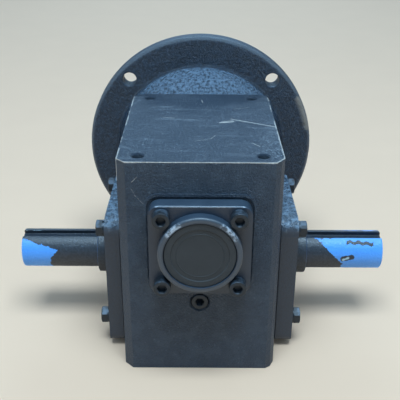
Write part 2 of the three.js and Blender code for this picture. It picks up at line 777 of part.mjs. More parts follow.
// The tapered rollers with their cage, which travel round together.
function outputRollers(side) {
  const slope = Math.tan(ROLLER_TILT);
  const reach = 4.4;
  const wall = 0.6;
  let set = turned("X", OUTPUT_CENTRE, [
    [ROLLER_PITCH + slope * reach - wall, ROLLER_MIDDLE - reach],
    [ROLLER_PITCH + slope * reach + wall, ROLLER_MIDDLE - reach],
    [ROLLER_PITCH - slope * reach + wall, ROLLER_MIDDLE + reach],
    [ROLLER_PITCH - slope * reach - wall, ROLLER_MIDDLE + reach],
  ], ROLLER_COUNT);
  for (let i = 0; i < ROLLER_COUNT; i += 1) {
    const small = ROLLER_RADIUS - 0.3;
    const roller = new THREE.CylinderGeometry(small, ROLLER_RADIUS, ROLLER_LENGTH, 6);
    roller.rotateZ(-Math.PI / 2 - ROLLER_TILT);
    roller.translate(0, ROLLER_PITCH, 0);
    roller.rotateX((i * 2 * Math.PI) / ROLLER_COUNT);
    roller.translate(ROLLER_MIDDLE, 0, OUTPUT_HEIGHT);
    set = set.add(toSolid(roller));
  }
  return facing(side, set);
}

const FRONT_BEARING = {
  centre: WORM_CENTRE,
  bore: FRONT_BEARING_BORE,
  outer: FRONT_BEARING_RADIUS,
  from: FRONT_BEARING_START,
  to: FRONT_BEARING_END,
  pitch: 14.25,
  ball: 6.75,
  count: 8,
};

const REAR_BEARING = {
  centre: WORM_CENTRE,
  bore: REAR_BEARING_BORE,
  outer: REAR_BEARING_RADIUS,
  from: REAR_BEARING_START,
  to: REAR_BEARING_END,
  pitch: 19.25,
  ball: 7.94,
  count: 9,
};

// ---------------------------------------------------------------- worm and wheel

// The worm thread: a tapered ridge bent round the worm axis. It is drawn straight, with
// its length standing for the angle, and is then wound into a right-hand helix whose
// middle is at the bottom of the worm when Y is zero.
function wormThread() {
  const tip = WORM_PITCH_RADIUS + ADDENDUM;
  const foot = WORM_PITCH_RADIUS - DEDENDUM - 0.4;
  const halfAt = (radius) => TOOTH_THICKNESS / 2 - (radius - WORM_PITCH_RADIUS) * FLANK_SLOPE;
  const section = new THREE.Shape([
    new THREE.Vector2(-halfAt(foot), foot),
    new THREE.Vector2(halfAt(foot), foot),
    new THREE.Vector2(halfAt(tip), tip),
    new THREE.Vector2(-halfAt(tip), tip),
  ]);
  const turns = (2 * WORM_HALF_LENGTH - 4) / LEAD;
  const angle = turns * 2 * Math.PI;
  const steps = Math.round(turns * 12);
  const ridge = new THREE.ExtrudeGeometry(section, { depth: angle, steps, bevelEnabled: false });
  const points = ridge.attributes.position;
  for (let i = 0; i < points.count; i += 1) {
    const offset = points.getX(i);
    const radius = points.getY(i);
    const phi = points.getZ(i) - angle / 2;
    const y = offset + (LEAD * phi) / (2 * Math.PI);
    const z = WORM_HEIGHT - radius * Math.cos(phi);
    points.setXYZ(i, -radius * Math.sin(phi), y, z);
  }
  return toSolid(ridge);
}

function makeWormShaft() {
  const root = WORM_PITCH_RADIUS - DEDENDUM;
  const nose = FRONT_BEARING_BORE - CLEAR;
  const quill = REAR_BEARING_BORE - CLEAR;
  const chamfer = 0.8;
  const groove = quill - RING_GROOVE_DEPTH;
  const shaft = turned("Y", WORM_CENTRE, [
    [0, WORM_FRONT_END],
    [nose - chamfer, WORM_FRONT_END],
    [nose, WORM_FRONT_END + chamfer],
    [nose, FRONT_BEARING_END + 0.1],
    [WORM_CORE_RADIUS, FRONT_BEARING_END + 0.1],
    [WORM_CORE_RADIUS, -WORM_HALF_LENGTH - 4],
    [root, -WORM_HALF_LENGTH],
    [root, WORM_HALF_LENGTH],
    [WORM_CORE_RADIUS, WORM_HALF_LENGTH + 4],
    [WORM_CORE_RADIUS, WORM_COLLAR_START],
    [WORM_COLLAR_RADIUS, WORM_COLLAR_START],
    [WORM_COLLAR_RADIUS, REAR_BEARING_START - CLEAR],
    [quill, REAR_BEARING_START - CLEAR],
    [quill, REAR_BEARING_END + 0.1],
    [groove, REAR_BEARING_END + 0.1],
    [groove, REAR_BEARING_END + 1.9],
    [quill, REAR_BEARING_END + 1.9],
    [quill, QUILL_END - 1],
    [quill - 1, QUILL_END],
    [MOTOR_BORE_RADIUS + chamfer, QUILL_END],
    [MOTOR_BORE_RADIUS, QUILL_END - chamfer],
    [MOTOR_BORE_RADIUS, QUILL_BOTTOM],
    [0, QUILL_BOTTOM],
  ]);
  const keyway = roundedRectangle(0, WORM_HEIGHT + 5, 2.38, 5.3, 0.2);
  return cut(join(shaft, wormThread()), extruded("Y", keyway, 50, QUILL_END + 1, 1));
}

// The toothed rim, drawn flat with one tooth gap straight up, then twisted along the
// output axis to follow the worm's lead.
function makeWormWheel() {
  const tip = WHEEL_PITCH_RADIUS + ADDENDUM;
  const root = WHEEL_PITCH_RADIUS - DEDENDUM;
  const halfAngleAt = (radius) =>
    (TOOTH_THICKNESS / 2 - (radius - WHEEL_PITCH_RADIUS) * FLANK_SLOPE) / radius;
  const outline = new THREE.Shape();
  for (let i = 0; i < TEETH; i += 1) {
    const middle = Math.PI / 2 + ((i + 0.5) * 2 * Math.PI) / TEETH;
    const corners = [
      [root, middle - halfAngleAt(root)],
      [tip, middle - halfAngleAt(tip)],
      [tip, middle + halfAngleAt(tip)],
      [root, middle + halfAngleAt(root)],
    ];
    corners.forEach(([radius, angle], j) => {
      const a = radius * Math.cos(angle);
      const b = radius * Math.sin(angle);
      if (i === 0 && j === 0) outline.moveTo(a, b);
      else outline.lineTo(a, b);
    });
  }
  outline.closePath();
  const depth = 2 * WHEEL_HALF_WIDTH;
  const blank = new THREE.ExtrudeGeometry(outline, { depth, steps: 2, bevelEnabled: false });
  blank.translate(0, 0, -WHEEL_HALF_WIDTH);
  const points = blank.attributes.position;
  for (let i = 0; i < points.count; i += 1) {
    const x = points.getZ(i);
    const twist = (x * Math.tan(LEAD_ANGLE)) / WHEEL_PITCH_RADIUS;
    const y = points.getX(i) * Math.cos(twist) - points.getY(i) * Math.sin(twist);
    const z = points.getX(i) * Math.sin(twist) + points.getY(i) * Math.cos(twist);
    points.setXYZ(i, x, y, z + OUTPUT_HEIGHT);
  }
  const reach = WHEEL_HALF_WIDTH + 1;
  const bore = rod("X", OUTPUT_CENTRE, HUB_RADIUS + CLEAR, -reach, reach);
  return cut(toSolid(blank), bore);
}

// ---------------------------------------------------------------- output shaft

function shaftEndKeyway(side) {
  const bottom = SHAFT_RADIUS - KEYWAY_DEPTH;
  const outline = roundedRectangle(0, bottom + 5, KEYWAY_HALF_WIDTH, 5, 0.2);
  const { shoulder, shaftEnd } = sizesOn(side);
  const slot = extruded("X", outline, shoulder - 0.01, shaftEnd + 1, 1);
  return facing(side, slot).rotate([KEYWAY_TURN, 0, 0]).translate(OUTPUT_CENTRE);
}

// The wheel's key, or the slot for it when it is grown a little.
function wheelKey(halfLength, grow) {
  const middle = (WHEEL_KEY_BOTTOM + WHEEL_KEY_TOP) / 2;
  const halfHeight = (WHEEL_KEY_TOP - WHEEL_KEY_BOTTOM) / 2 + grow;
  const outline = roundedRectangle(0, middle, WHEEL_KEY_HALF_WIDTH + grow, halfHeight, 0.2);
  return extruded("X", outline, -halfLength, halfLength, 1).translate(OUTPUT_CENTRE);
}

function makeOutputShaft() {
  const left = LEFT_SIDE;
  const right = RIGHT_SIDE;
  const hub = HUB_HALF_WIDTH + CLEAR;
  const collar = HUB_HALF_WIDTH + COLLAR_WIDTH;
  const shaft = turned("X", OUTPUT_CENTRE, [
    [0, -left.shaftEnd],
    [SHAFT_RADIUS - 1, -left.shaftEnd],
    [SHAFT_RADIUS, -left.shaftEnd + 1],
    [SHAFT_RADIUS, -left.shoulder],
    [SEAT_RADIUS - 0.6, -left.shoulder],
    [SEAT_RADIUS, -left.shoulder + 0.6],
    [SEAT_RADIUS, -hub],
    [HUB_BORE - CLEAR, -hub],
    [HUB_BORE - CLEAR, hub],
    [COLLAR_RADIUS, hub],
    [COLLAR_RADIUS, collar],
    [SEAT_RADIUS, collar],
    [SEAT_RADIUS, right.shoulder - 0.6],
    [SEAT_RADIUS - 0.6, right.shoulder],
    [SHAFT_RADIUS, right.shoulder],
    [SHAFT_RADIUS, right.shaftEnd - 1],
    [SHAFT_RADIUS - 1, right.shaftEnd],
    [0, right.shaftEnd],
  ]);
  const slot = wheelKey(WHEEL_KEY_HALF_LENGTH + 0.2, CLEAR);
  return cut(shaft, shaftEndKeyway(1), shaftEndKeyway(-1), slot);
}

function makeWheelHub() {
  const hub = tube("X", OUTPUT_CENTRE, HUB_BORE, HUB_RADIUS, -HUB_HALF_WIDTH, HUB_HALF_WIDTH);
  return cut(hub, wheelKey(HUB_HALF_WIDTH + 1, CLEAR));
}

function spacer(side, from) {
  const to = SPIGOT_END - CLEAR;
  return facing(side, tube("X", OUTPUT_CENTRE, SEAT_RADIUS + CLEAR, SPACER_RADIUS, from, to));
}

function retainingRing() {
  const from = REAR_BEARING_END + 0.15;
  const inner = REAR_BEARING_BORE - RING_GROOVE_DEPTH;
  const ring = tube("Y", WORM_CENTRE, inner, 15, from, from + 1.6);
  const gap = extruded("Y", roundedRectangle(0, WORM_HEIGHT - 14, 3, 5, 0.2), from - 1, from + 3, 1);
  return cut(ring, gap);
}

// ---------------------------------------------------------------- the assembly

const SIDES = [["left", -1], ["right", 1]];
const CORNERS = ["upper_left", "upper_right", "lower_right", "lower_left"];

addPiece("housing", makeHousing(), "paint");
addPiece("input_flange", makeInputFlange(), "paint");
addPiece("flange_gasket", makeFlangeGasket(), "gasket");
addPiece("front_bearing_cap", makeFrontCap(), "paint");
addPiece("cap_gasket", makeCapGasket(), "gasket");
addPiece("cap_closure", makeClosure(), "closure");
addPiece("oil_level_plug", makeOilPlug(), "blackFastener");

const CAP_SCREW_SIZE = {
  shank: CAP_SCREW_RADIUS,
  head: CAP_SCREW_HEAD_RADIUS,
  headHeight: CAP_SCREW_HEAD_HEIGHT,
  flats: CAP_SCREW_SOCKET_FLATS,
  length: 20,
};
squarePattern(CAP_SCREW).forEach(([x, up], i) => {
  const screw = socketScrew(x, WORM_HEIGHT + up, CAP_FACE - CLEAR, 1, CAP_SCREW_SIZE);
  addPiece(`cap_screw_${CORNERS[i]}`, screw, "blackFastener");
});

const FLANGE_SCREW_SIZE = {
  shank: FLANGE_SCREW_RADIUS,
  head: 6.5,
  headHeight: 8,
  flats: 6,
  length: 23,
};
squarePattern(FLANGE_SCREW).forEach(([x, up], i) => {
  const screw = socketScrew(x, WORM_HEIGHT + up, FLANGE_SCREW_SEAT + CLEAR, -1, FLANGE_SCREW_SIZE);
  addPiece(`flange_screw_${CORNERS[i]}`, screw, "blackFastener");
});

for (const [sideName, side] of SIDES) {
  addPiece(`${sideName}_cover`, makeSideCover(side), "paint");
  addPiece(`${sideName}_cover_gasket`, makeCoverGasket(side), "gasket");
  addPiece(`${sideName}_output_seal`, outputSeal(side), "rubber");
  addPiece(`${sideName}_bearing_cup`, outputCup(side), "steel");
  addPiece(`${sideName}_bearing_cone`, outputCone(side), "steel");
  addPiece(`${sideName}_bearing_rollers`, outputRollers(side), "steel");
  squarePattern(COVER_BOLT).forEach(([y, up], i) => {
    const name = `${sideName}_cover_bolt_${i + 1}`;
    addPiece(name, hexBolt(side, y, OUTPUT_HEIGHT + up), "blackFastener");
    const washer = lockWasher(side, y, OUTPUT_HEIGHT + up, i * 1.3);
    addPiece(`${sideName}_lock_washer_${i + 1}`, washer, "blackFastener");
  });
}

for (const [place, size] of [["front", FRONT_BEARING], ["rear", REAR_BEARING]]) {
  const { innerRing, outerRing } = ballBearingRings(size);
  addPiece(`${place}_bearing_inner_ring`, innerRing, "steel");
  addPiece(`${place}_bearing_outer_ring`, outerRing, "steel");
  addPiece(`${place}_bearing_balls`, ballSet(size), "steel");
}

const inputSealFrom = INPUT_SEAL_SEAT + 0.3;
const inputSealTo = FLANGE_SCREW_SEAT - 0.7;
addPiece(
  "input_seal",
  lipSeal("Y", WORM_CENTRE, REAR_BEARING_BORE, INPUT_SEAL_RADIUS, inputSealFrom, inputSealTo),
  "rubber",
);
addPiece("worm_shaft", makeWormShaft(), "steel");
addPiece("retaining_ring", retainingRing(), "blackFastener");
addPiece("output_shaft", makeOutputShaft(), "paintedShaft");
addPiece("worm_wheel", makeWormWheel(), "bronze");
addPiece("wheel_hub", makeWheelHub(), "iron");
addPiece("wheel_key", wheelKey(WHEEL_KEY_HALF_LENGTH, 0), "steel");
addPiece("left_spacer", spacer(-1, HUB_HALF_WIDTH + 2 * CLEAR), "steel");
addPiece("right_spacer", spacer(1, HUB_HALF_WIDTH + COLLAR_WIDTH + CLEAR), "steel");

export default model;
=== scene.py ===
import math

import bmesh
import bpy
from mathutils import Euler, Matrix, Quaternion, Vector


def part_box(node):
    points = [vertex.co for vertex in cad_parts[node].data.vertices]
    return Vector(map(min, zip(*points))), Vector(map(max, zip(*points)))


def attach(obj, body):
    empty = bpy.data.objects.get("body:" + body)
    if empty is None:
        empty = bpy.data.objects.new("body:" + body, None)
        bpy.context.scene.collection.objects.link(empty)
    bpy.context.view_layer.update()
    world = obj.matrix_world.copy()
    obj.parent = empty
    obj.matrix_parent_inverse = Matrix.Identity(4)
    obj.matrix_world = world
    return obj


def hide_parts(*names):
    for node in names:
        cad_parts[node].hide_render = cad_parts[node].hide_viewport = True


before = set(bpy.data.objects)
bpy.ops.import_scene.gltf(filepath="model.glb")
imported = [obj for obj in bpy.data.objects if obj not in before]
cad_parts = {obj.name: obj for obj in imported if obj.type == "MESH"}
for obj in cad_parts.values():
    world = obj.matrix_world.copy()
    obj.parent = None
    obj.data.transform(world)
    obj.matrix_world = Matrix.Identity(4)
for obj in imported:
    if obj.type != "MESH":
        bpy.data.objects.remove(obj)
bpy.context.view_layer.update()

MM = 0.001


# ------------------------------------------------------------------ sizes, in millimetres

def box_mm(node):
    low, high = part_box(node)
    return low / MM, high / MM


housing_low, housing_high = box_mm("housing")
flange_high = box_mm("input_flange")[1]
cap_low, cap_high = box_mm("front_bearing_cap")
cover_low, cover_high = box_mm("right_cover")
plug_low, plug_high = box_mm("oil_level_plug")
shaft_low, shaft_high = box_mm("output_shaft")
bolt_low = box_mm("right_cover_bolt_1")[0]
washer_low, washer_high = box_mm("right_lock_washer_1")

FRONT, BACK, TOP = housing_low.y, housing_high.y, housing_high.z
PAD = housing_high.x
SIDE = 46.85
LEFT_CHAMFER = 5.2
WORM_Z = (cap_low.z + cap_high.z) / 2
OUTPUT_Z = (shaft_low.z + shaft_high.z) / 2
PLUG_Z = (plug_low.z + plug_high.z) / 2
WORM_AXIS = (0, WORM_Z)
OUTPUT_AXIS = (0, OUTPUT_Z)
COVER_FACES = {1: cover_high.x, -1: -box_mm("left_cover")[0].x}
COVER_BACK = 49.4
COVER_BOLT = 32
COVER_BOLT_HOLE = 3.4
PAD_HALF = 38
PAD_CORNER = 8
CAP_FACE = FRONT - 10
CAP_PLATE_BACK = FRONT - 0.6
BOSS_FACE = cap_low.y
BOSS_RADIUS = 23.9
CAP_SCREW = 21.5
CAP_SCREW_HOLE = 3.4
CLOSURE_RADIUS = 20.5
CLOSURE_BACK = -74.4
PLUG_RADIUS = 5.1
PLUG_HOLE = 5.5
PLUG_SOCKET_FLATS = 4.76
FLANGE_FRONT = 88.6
FLANGE_BACK = flange_high.y
FLANGE_RADIUS = flange_high.x
FLANGE_START = BACK + 0.6
MOTOR_HOLE = 149.2 / 2 * math.sqrt(0.5)
FLANGE_SCREW = 26.9
FLANGE_SCREW_HOLE = 4.4
FLANGE_SCREW_SEAT = 73.05
SHAFT_RADIUS = 12.7
MM_PER_DEGREE = SHAFT_RADIUS * math.pi / 180
SEAT_RADIUS = 15.875
SHAFT_ENDS = {1: shaft_high.x, -1: -shaft_low.x}
SHOULDERS = {1: 70.3, -1: 67.6}
KEYWAY_TURN = math.radians(12)
CORNERS = {"upper_left": (-1, 1), "upper_right": (1, 1), "lower_right": (1, -1), "lower_left": (-1, -1)}
SIDES = {"left": -1, "right": 1}


# ------------------------------------------------------------------ shape helpers

def soften(outline, steps=4):
    """Rounds the corners of a closed outline whose points are (a, b) or (a, b, radius)."""
    points = []
    for i, corner in enumerate(outline):
        at = Vector(corner[:2])
        if len(corner) < 3:
            points.append(tuple(at))
            continue
        before = (Vector(outline[i - 1][:2]) - at).normalized()
        after = (Vector(outline[(i + 1) % len(outline)][:2]) - at).normalized()
        half = before.angle(after) / 2
        centre = at + (before + after).normalized() * corner[2] / math.sin(half)
        reach = corner[2] / math.tan(half)
        start, end = at + before * reach - centre, at + after * reach - centre
        sweep = start.angle(end)
        for step in range(steps + 1):
            share = step / steps
            spoke = start * math.sin((1 - share) * sweep) + end * math.sin(share * sweep)
            points.append(tuple(centre + spoke / math.sin(sweep)))
    return points


def rectangle(centre, half_a, half_b, radius, steps=8):
    a, b = centre
    corners = [(-half_a, -half_b), (half_a, -half_b), (half_a, half_b), (-half_a, half_b)]
    return soften([(a + da, b + db, radius) for da, db in corners], steps)


def hexagon(centre, flats, turn=0.0):
    reach = flats / math.sqrt(3)
    angles = [turn + i * math.pi / 3 for i in range(6)]
    return [(centre[0] + reach * math.cos(t), centre[1] + reach * math.sin(t)) for t in angles]


def spot(axis, a, b, along):
    order = {"X": (along, a, b), "Y": (a, along, b), "Z": (a, b, along)}[axis]
    return Vector(order) * MM


def corner_spots(centre, reach):
    """The four corners of a square round a centre, clockwise from the upper left."""
    return [(centre[0] + da * reach, centre[1] + db * reach) for da, db in CORNERS.values()]


def corner_rods(axis, centre, reach, radius, low, high, sides=32):
    return [rod(axis, at, radius, low, high, sides) for at in corner_spots(centre, reach)]


def to_object(shape):
    bmesh.ops.recalc_face_normals(shape, faces=shape.faces)
    mesh = bpy.data.meshes.new("shape")
    shape.to_mesh(mesh)
    shape.free()
    made = bpy.data.objects.new("shape", mesh)
    bpy.context.scene.collection.objects.link(made)
    return made


def prism(axis, outline, low, high, rim=0.0, rim_steps=2):
    """A flat outline pushed from low to high along an axis, with its two rims rounded."""
    shape = bmesh.new()
    ends = [[shape.verts.new(spot(axis, a, b, at)) for a, b in outline] for at in (low, high)]
    shape.faces.new(ends[0])
    shape.faces.new(ends[1])
    for i in range(len(outline)):
        shape.faces.new([ends[0][i - 1], ends[0][i], ends[1][i], ends[1][i - 1]])
    if rim:
        caps = set(ends[0]), set(ends[1])
        edges = [e for e in shape.edges if any(set(e.verts) <= cap for cap in caps)]
        bmesh.ops.bevel(shape, geom=edges, offset=rim * MM, segments=rim_steps, profile=0.5, affect="EDGES")
    return to_object(shape)


def wall_corners(ring, following, i):
    """The corners of one wall face between two rings, where a ring on the axis is a single point."""
    if len(ring) == 1:
        return [ring[0], following[i], following[i - 1]]
    if len(following) == 1:
        return [ring[i - 1], ring[i], following[0]]
    return [ring[i - 1], ring[i], following[i], following[i - 1]]


def lathe(axis, centre, profile, sides=96):
    """A solid of revolution from (radius, position) pairs. Off the axis, the profile closes on itself."""
    shape = bmesh.new()
    rings = []
    for radius, along in profile:
        angles = [i * 2 * math.pi / sides for i in range(sides)] if radius > 1e-6 else [0]
        spots = [(centre[0] + radius * math.cos(t), centre[1] + radius * math.sin(t)) for t in angles]
        rings.append([shape.verts.new(spot(axis, a, b, along)) for a, b in spots])
    if profile[0][0] > 1e-6:
        rings.append(rings[0])
    for ring, following in zip(rings, rings[1:]):
        for i in range(sides):
            shape.faces.new(wall_corners(ring, following, i))
    return to_object(shape)


def rod(axis, centre, radius, low, high, sides=48):
    return lathe(axis, centre, [(0, low), (radius, low), (radius, high), (0, high)], sides)


def combine(base, others, operation="DIFFERENCE"):
    """Cuts the others from the base, or joins them to it, and removes them."""
    for other in others:
        step = base.modifiers.new("step", "BOOLEAN")
        step.operation = operation
        step.solver = "MANIFOLD"
        step.object = other
    graph = bpy.context.evaluated_depsgraph_get()
    graph.update()
    mesh = bpy.data.meshes.new_from_object(base.evaluated_get(graph))
    base.modifiers.clear()
    base.data = mesh
    for other in others:
        bpy.data.objects.remove(other)
    return base


def turned_over(shape, side):
    """A piece drawn for the right side, as it sits on that side: half a turn about Z for the left."""
    if side < 0:
        for vertex in shape.data.vertices:
            vertex.co.x, vertex.co.y = -vertex.co.x, -vertex.co.y
    return shape


def piece(node, shape, look, body="root", sharp=32):
    """Makes a shape the visible piece that stands for a CAD node."""
    shape.name = f"{node}_visual"
    mesh = shape.data
    mesh.name = shape.name
    mesh.materials.clear()
    mesh.materials.append(look)
    mesh.polygons.foreach_set("use_smooth", [True] * len(mesh.polygons))
    mesh.set_sharp_from_angle(angle=math.radians(sharp))
    weighted = shape.modifiers.new("flat_faces_stay_flat", "WEIGHTED_NORMAL")
    weighted.keep_sharp = True
    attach(shape, body)
    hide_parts(node)
    return shape


# ------------------------------------------------------------------ material helpers

class Look:
    """Builds the nodes of one material. Values are numbers, colours, vectors or sockets."""

    def __init__(self, name, roughness=0.5, metallic=0.0, specular=0.5):
        self.material = bpy.data.materials.new(name)
        self.material.use_nodes = True
        self.tree = self.material.node_tree
        self.shader = self.tree.nodes["Principled BSDF"]
        self.shader.inputs["Roughness"].default_value = roughness
        self.shader.inputs["Metallic"].default_value = metallic
        self.shader.inputs["Specular IOR Level"].default_value = specular
        where = self.tree.nodes.new("ShaderNodeTexCoord")
        self.place = where.outputs["Object"]
        self.x, self.y, self.z = self.split(self.scaled(self.place, (1 / MM,) * 3))
        self.nx, self.ny, self.nz = self.split(where.outputs["Normal"])

    def put(self, value, socket):
        if isinstance(value, bpy.types.NodeSocket):
            self.tree.links.new(value, socket)
        elif isinstance(value, tuple) and len(value) == 3 and socket.type == "RGBA":
            socket.default_value = (*value, 1)
        else:
            socket.default_value = value

    def split(self, vector):
        node = self.tree.nodes.new("ShaderNodeSeparateXYZ")
        self.put(vector, node.inputs[0])
        return node.outputs

    def vector(self, operation, a, b=(0, 0, 0), scale=None):
        node = self.tree.nodes.new("ShaderNodeVectorMath")
        node.operation = operation
        self.put(a, node.inputs[0])
        self.put(b, node.inputs[1])
        if scale is not None:
            self.put(scale, node.inputs["Scale"])
        return node.outputs["Value" if operation in ("LENGTH", "DOT_PRODUCT") else "Vector"]

    def scaled(self, vector, factors):
        return self.vector("MULTIPLY", vector, factors)

    def math(self, operation, a, b=0.0, c=0.0, clamp=False):
        node = self.tree.nodes.new("ShaderNodeMath")
        node.operation = operation
        node.use_clamp = clamp
        for value, socket in zip((a, b, c), node.inputs):
            self.put(value, socket)
        return node.outputs[0]

    def plus(self, *values):
        total = values[0]
        for value in values[1:]:
            total = self.math("ADD", total, value)
        return total

    def times(self, *values):
        product = values[0]
        for value in values[1:]:
            product = self.math("MULTIPLY", product, value)
        return product

    def flip(self, value):
        return self.math("SUBTRACT", 1.0, value)

    def most(self, *values):
        top = values[0]
        for value in values[1:]:
            top = self.math("MAXIMUM", top, value)
        return top

    def step(self, value, low, high):
        """0 up to low, 1 from high on, and smooth between them. High may be below low."""
        node = self.tree.nodes.new("ShaderNodeMapRange")
        node.interpolation_type = "SMOOTHSTEP"
        self.put(value, node.inputs["Value"])
        self.put(low, node.inputs["From Min"])
        self.put(high, node.inputs["From Max"])
        return node.outputs["Result"]

    def remap(self, value, low, high, to_low, to_high):
        node = self.tree.nodes.new("ShaderNodeMapRange")
        names = ("Value", "From Min", "From Max", "To Min", "To Max")
        for name, number in zip(names, (value, low, high, to_low, to_high)):
            self.put(number, node.inputs[name])
        return node.outputs["Result"]

    def noise(self, size, detail=2.0, rough=0.5, stretch=(1, 1, 1), place=None, seed=0.0):
        """Soft noise whose bumps are about size millimetres across, 0 to 1."""
        node = self.tree.nodes.new("ShaderNodeTexNoise")
        node.noise_dimensions = "4D"
        factors = tuple(1 / (size * MM * s) for s in stretch)
        self.put(self.scaled(place or self.place, factors), node.inputs["Vector"])
        self.put(seed, node.inputs["W"])
        node.inputs["Scale"].default_value = 1
        node.inputs["Detail"].default_value = detail
        node.inputs["Roughness"].default_value = rough
        return node.outputs["Fac"]

    def turned_about_z(self, degrees):
        node = self.tree.nodes.new("ShaderNodeVectorRotate")
        node.rotation_type = "Z_AXIS"
        self.put(self.place, node.inputs["Vector"])
        node.inputs["Angle"].default_value = math.radians(degrees)
        return node.outputs[0]

    def wobbled(self, amount, size):
        """The place, shifted by noise, for lines that aren't ruled straight."""
        node = self.tree.nodes.new("ShaderNodeTexNoise")
        self.put(self.scaled(self.place, (1 / (size * MM),) * 3), node.inputs["Vector"])
        node.inputs["Scale"].default_value = 1
        shift = self.vector("SUBTRACT", node.outputs["Color"], (0.5, 0.5, 0.5))
        return self.vector("ADD", self.place, self.vector("SCALE", shift, scale=amount * MM))

    def distance(self, start, end, place=None):
        """Millimetres from the straight line between two points."""
        start, end = Vector(start) * MM, Vector(end) * MM
        along = end - start
        offset = self.vector("SUBTRACT", place or self.place, tuple(start))
        dot = self.vector("DOT_PRODUCT", offset, tuple(along))
        share = self.math("MULTIPLY", dot, 1 / along.length_squared, clamp=True)
        nearest = self.vector("SCALE", tuple(along), scale=share)
        return self.math("MULTIPLY", self.vector("LENGTH", self.vector("SUBTRACT", offset, nearest)), 1 / MM)

    def line(self, start, end, width, place=None):
        """1 on a line of that width, fading to 0 just beside it."""
        return self.step(self.distance(start, end, place), width * 0.75, width * 0.3)

    def colours(self, share, a, b):
        node = self.tree.nodes.new("ShaderNodeMix")
        node.data_type = "RGBA"
        self.put(share, node.inputs["Factor"])
        self.put(a, node.inputs[6])
        self.put(b, node.inputs[7])
        return node.outputs[2]

    def bump(self, height, depth, under=None):
        """Relief whose height, 0 to 1, stands for depth millimetres."""
        node = self.tree.nodes.new("ShaderNodeBump")
        node.inputs["Distance"].default_value = depth * MM
        self.put(height, node.inputs["Height"])
        if under is not None:
            self.put(under, node.inputs["Normal"])
        return node.outputs[0]

    def done(self, colour, roughness=None, normal=None, metallic=None):
        self.put(colour, self.shader.inputs["Base Color"])
        for name, value in (("Roughness", roughness), ("Normal", normal), ("Metallic", metallic)):
            if value is not None:
                self.put(value, self.shader.inputs[name])
        return self.material


# ------------------------------------------------------------------ materials

PAINT_DARK = (0.006, 0.015, 0.030)
PAINT = (0.012, 0.028, 0.052)
PAINTED_SHEEN = (0.085, 0.125, 0.170)
BARE = (0.66, 0.60, 0.54)
CHALKY = (0.26, 0.30, 0.34)
OXIDE_DARK = (0.006, 0.010, 0.016)
OXIDE = (0.030, 0.042, 0.060)
BLUE_DEEP = (0.065, 0.310, 0.860)
BLUE = (0.095, 0.390, 0.960)


# Marks on the housing: where each starts, where it ends, and how wide it is.
GOUGE = [
    ((12.3, 2.6, TOP), (20.5, 4.6, TOP), 1.2),
    ((13, 4.6, TOP), (20.5, 6.8, TOP), 0.5),
    ((19.0, 9.7, TOP), (46.5, -4.9, TOP), 0.7),
]
SMALL_SCRATCHES = [
    ((-24, 12, TOP), (-17, 11, TOP), 0.5),
    ((0.5, 49, TOP), (1.5, 42, TOP), 0.5),
    ((30, -33, TOP), (34, -38, TOP), 0.6),
    ((22, 30, TOP), (32, 33, TOP), 0.35),
    ((-3, -30, TOP), (6, -26, TOP), 0.3),
    ((6, -26, TOP), (9, -20, TOP), 0.3),
    ((-38, FRONT, TOP - 12), (-35, FRONT, TOP - 9), 0.3),
    ((-39.5, FRONT, TOP - 14), (-36, FRONT, TOP - 21), 0.2),
    ((-36, FRONT, TOP - 21), (-31, FRONT, TOP - 26), 0.2),
]


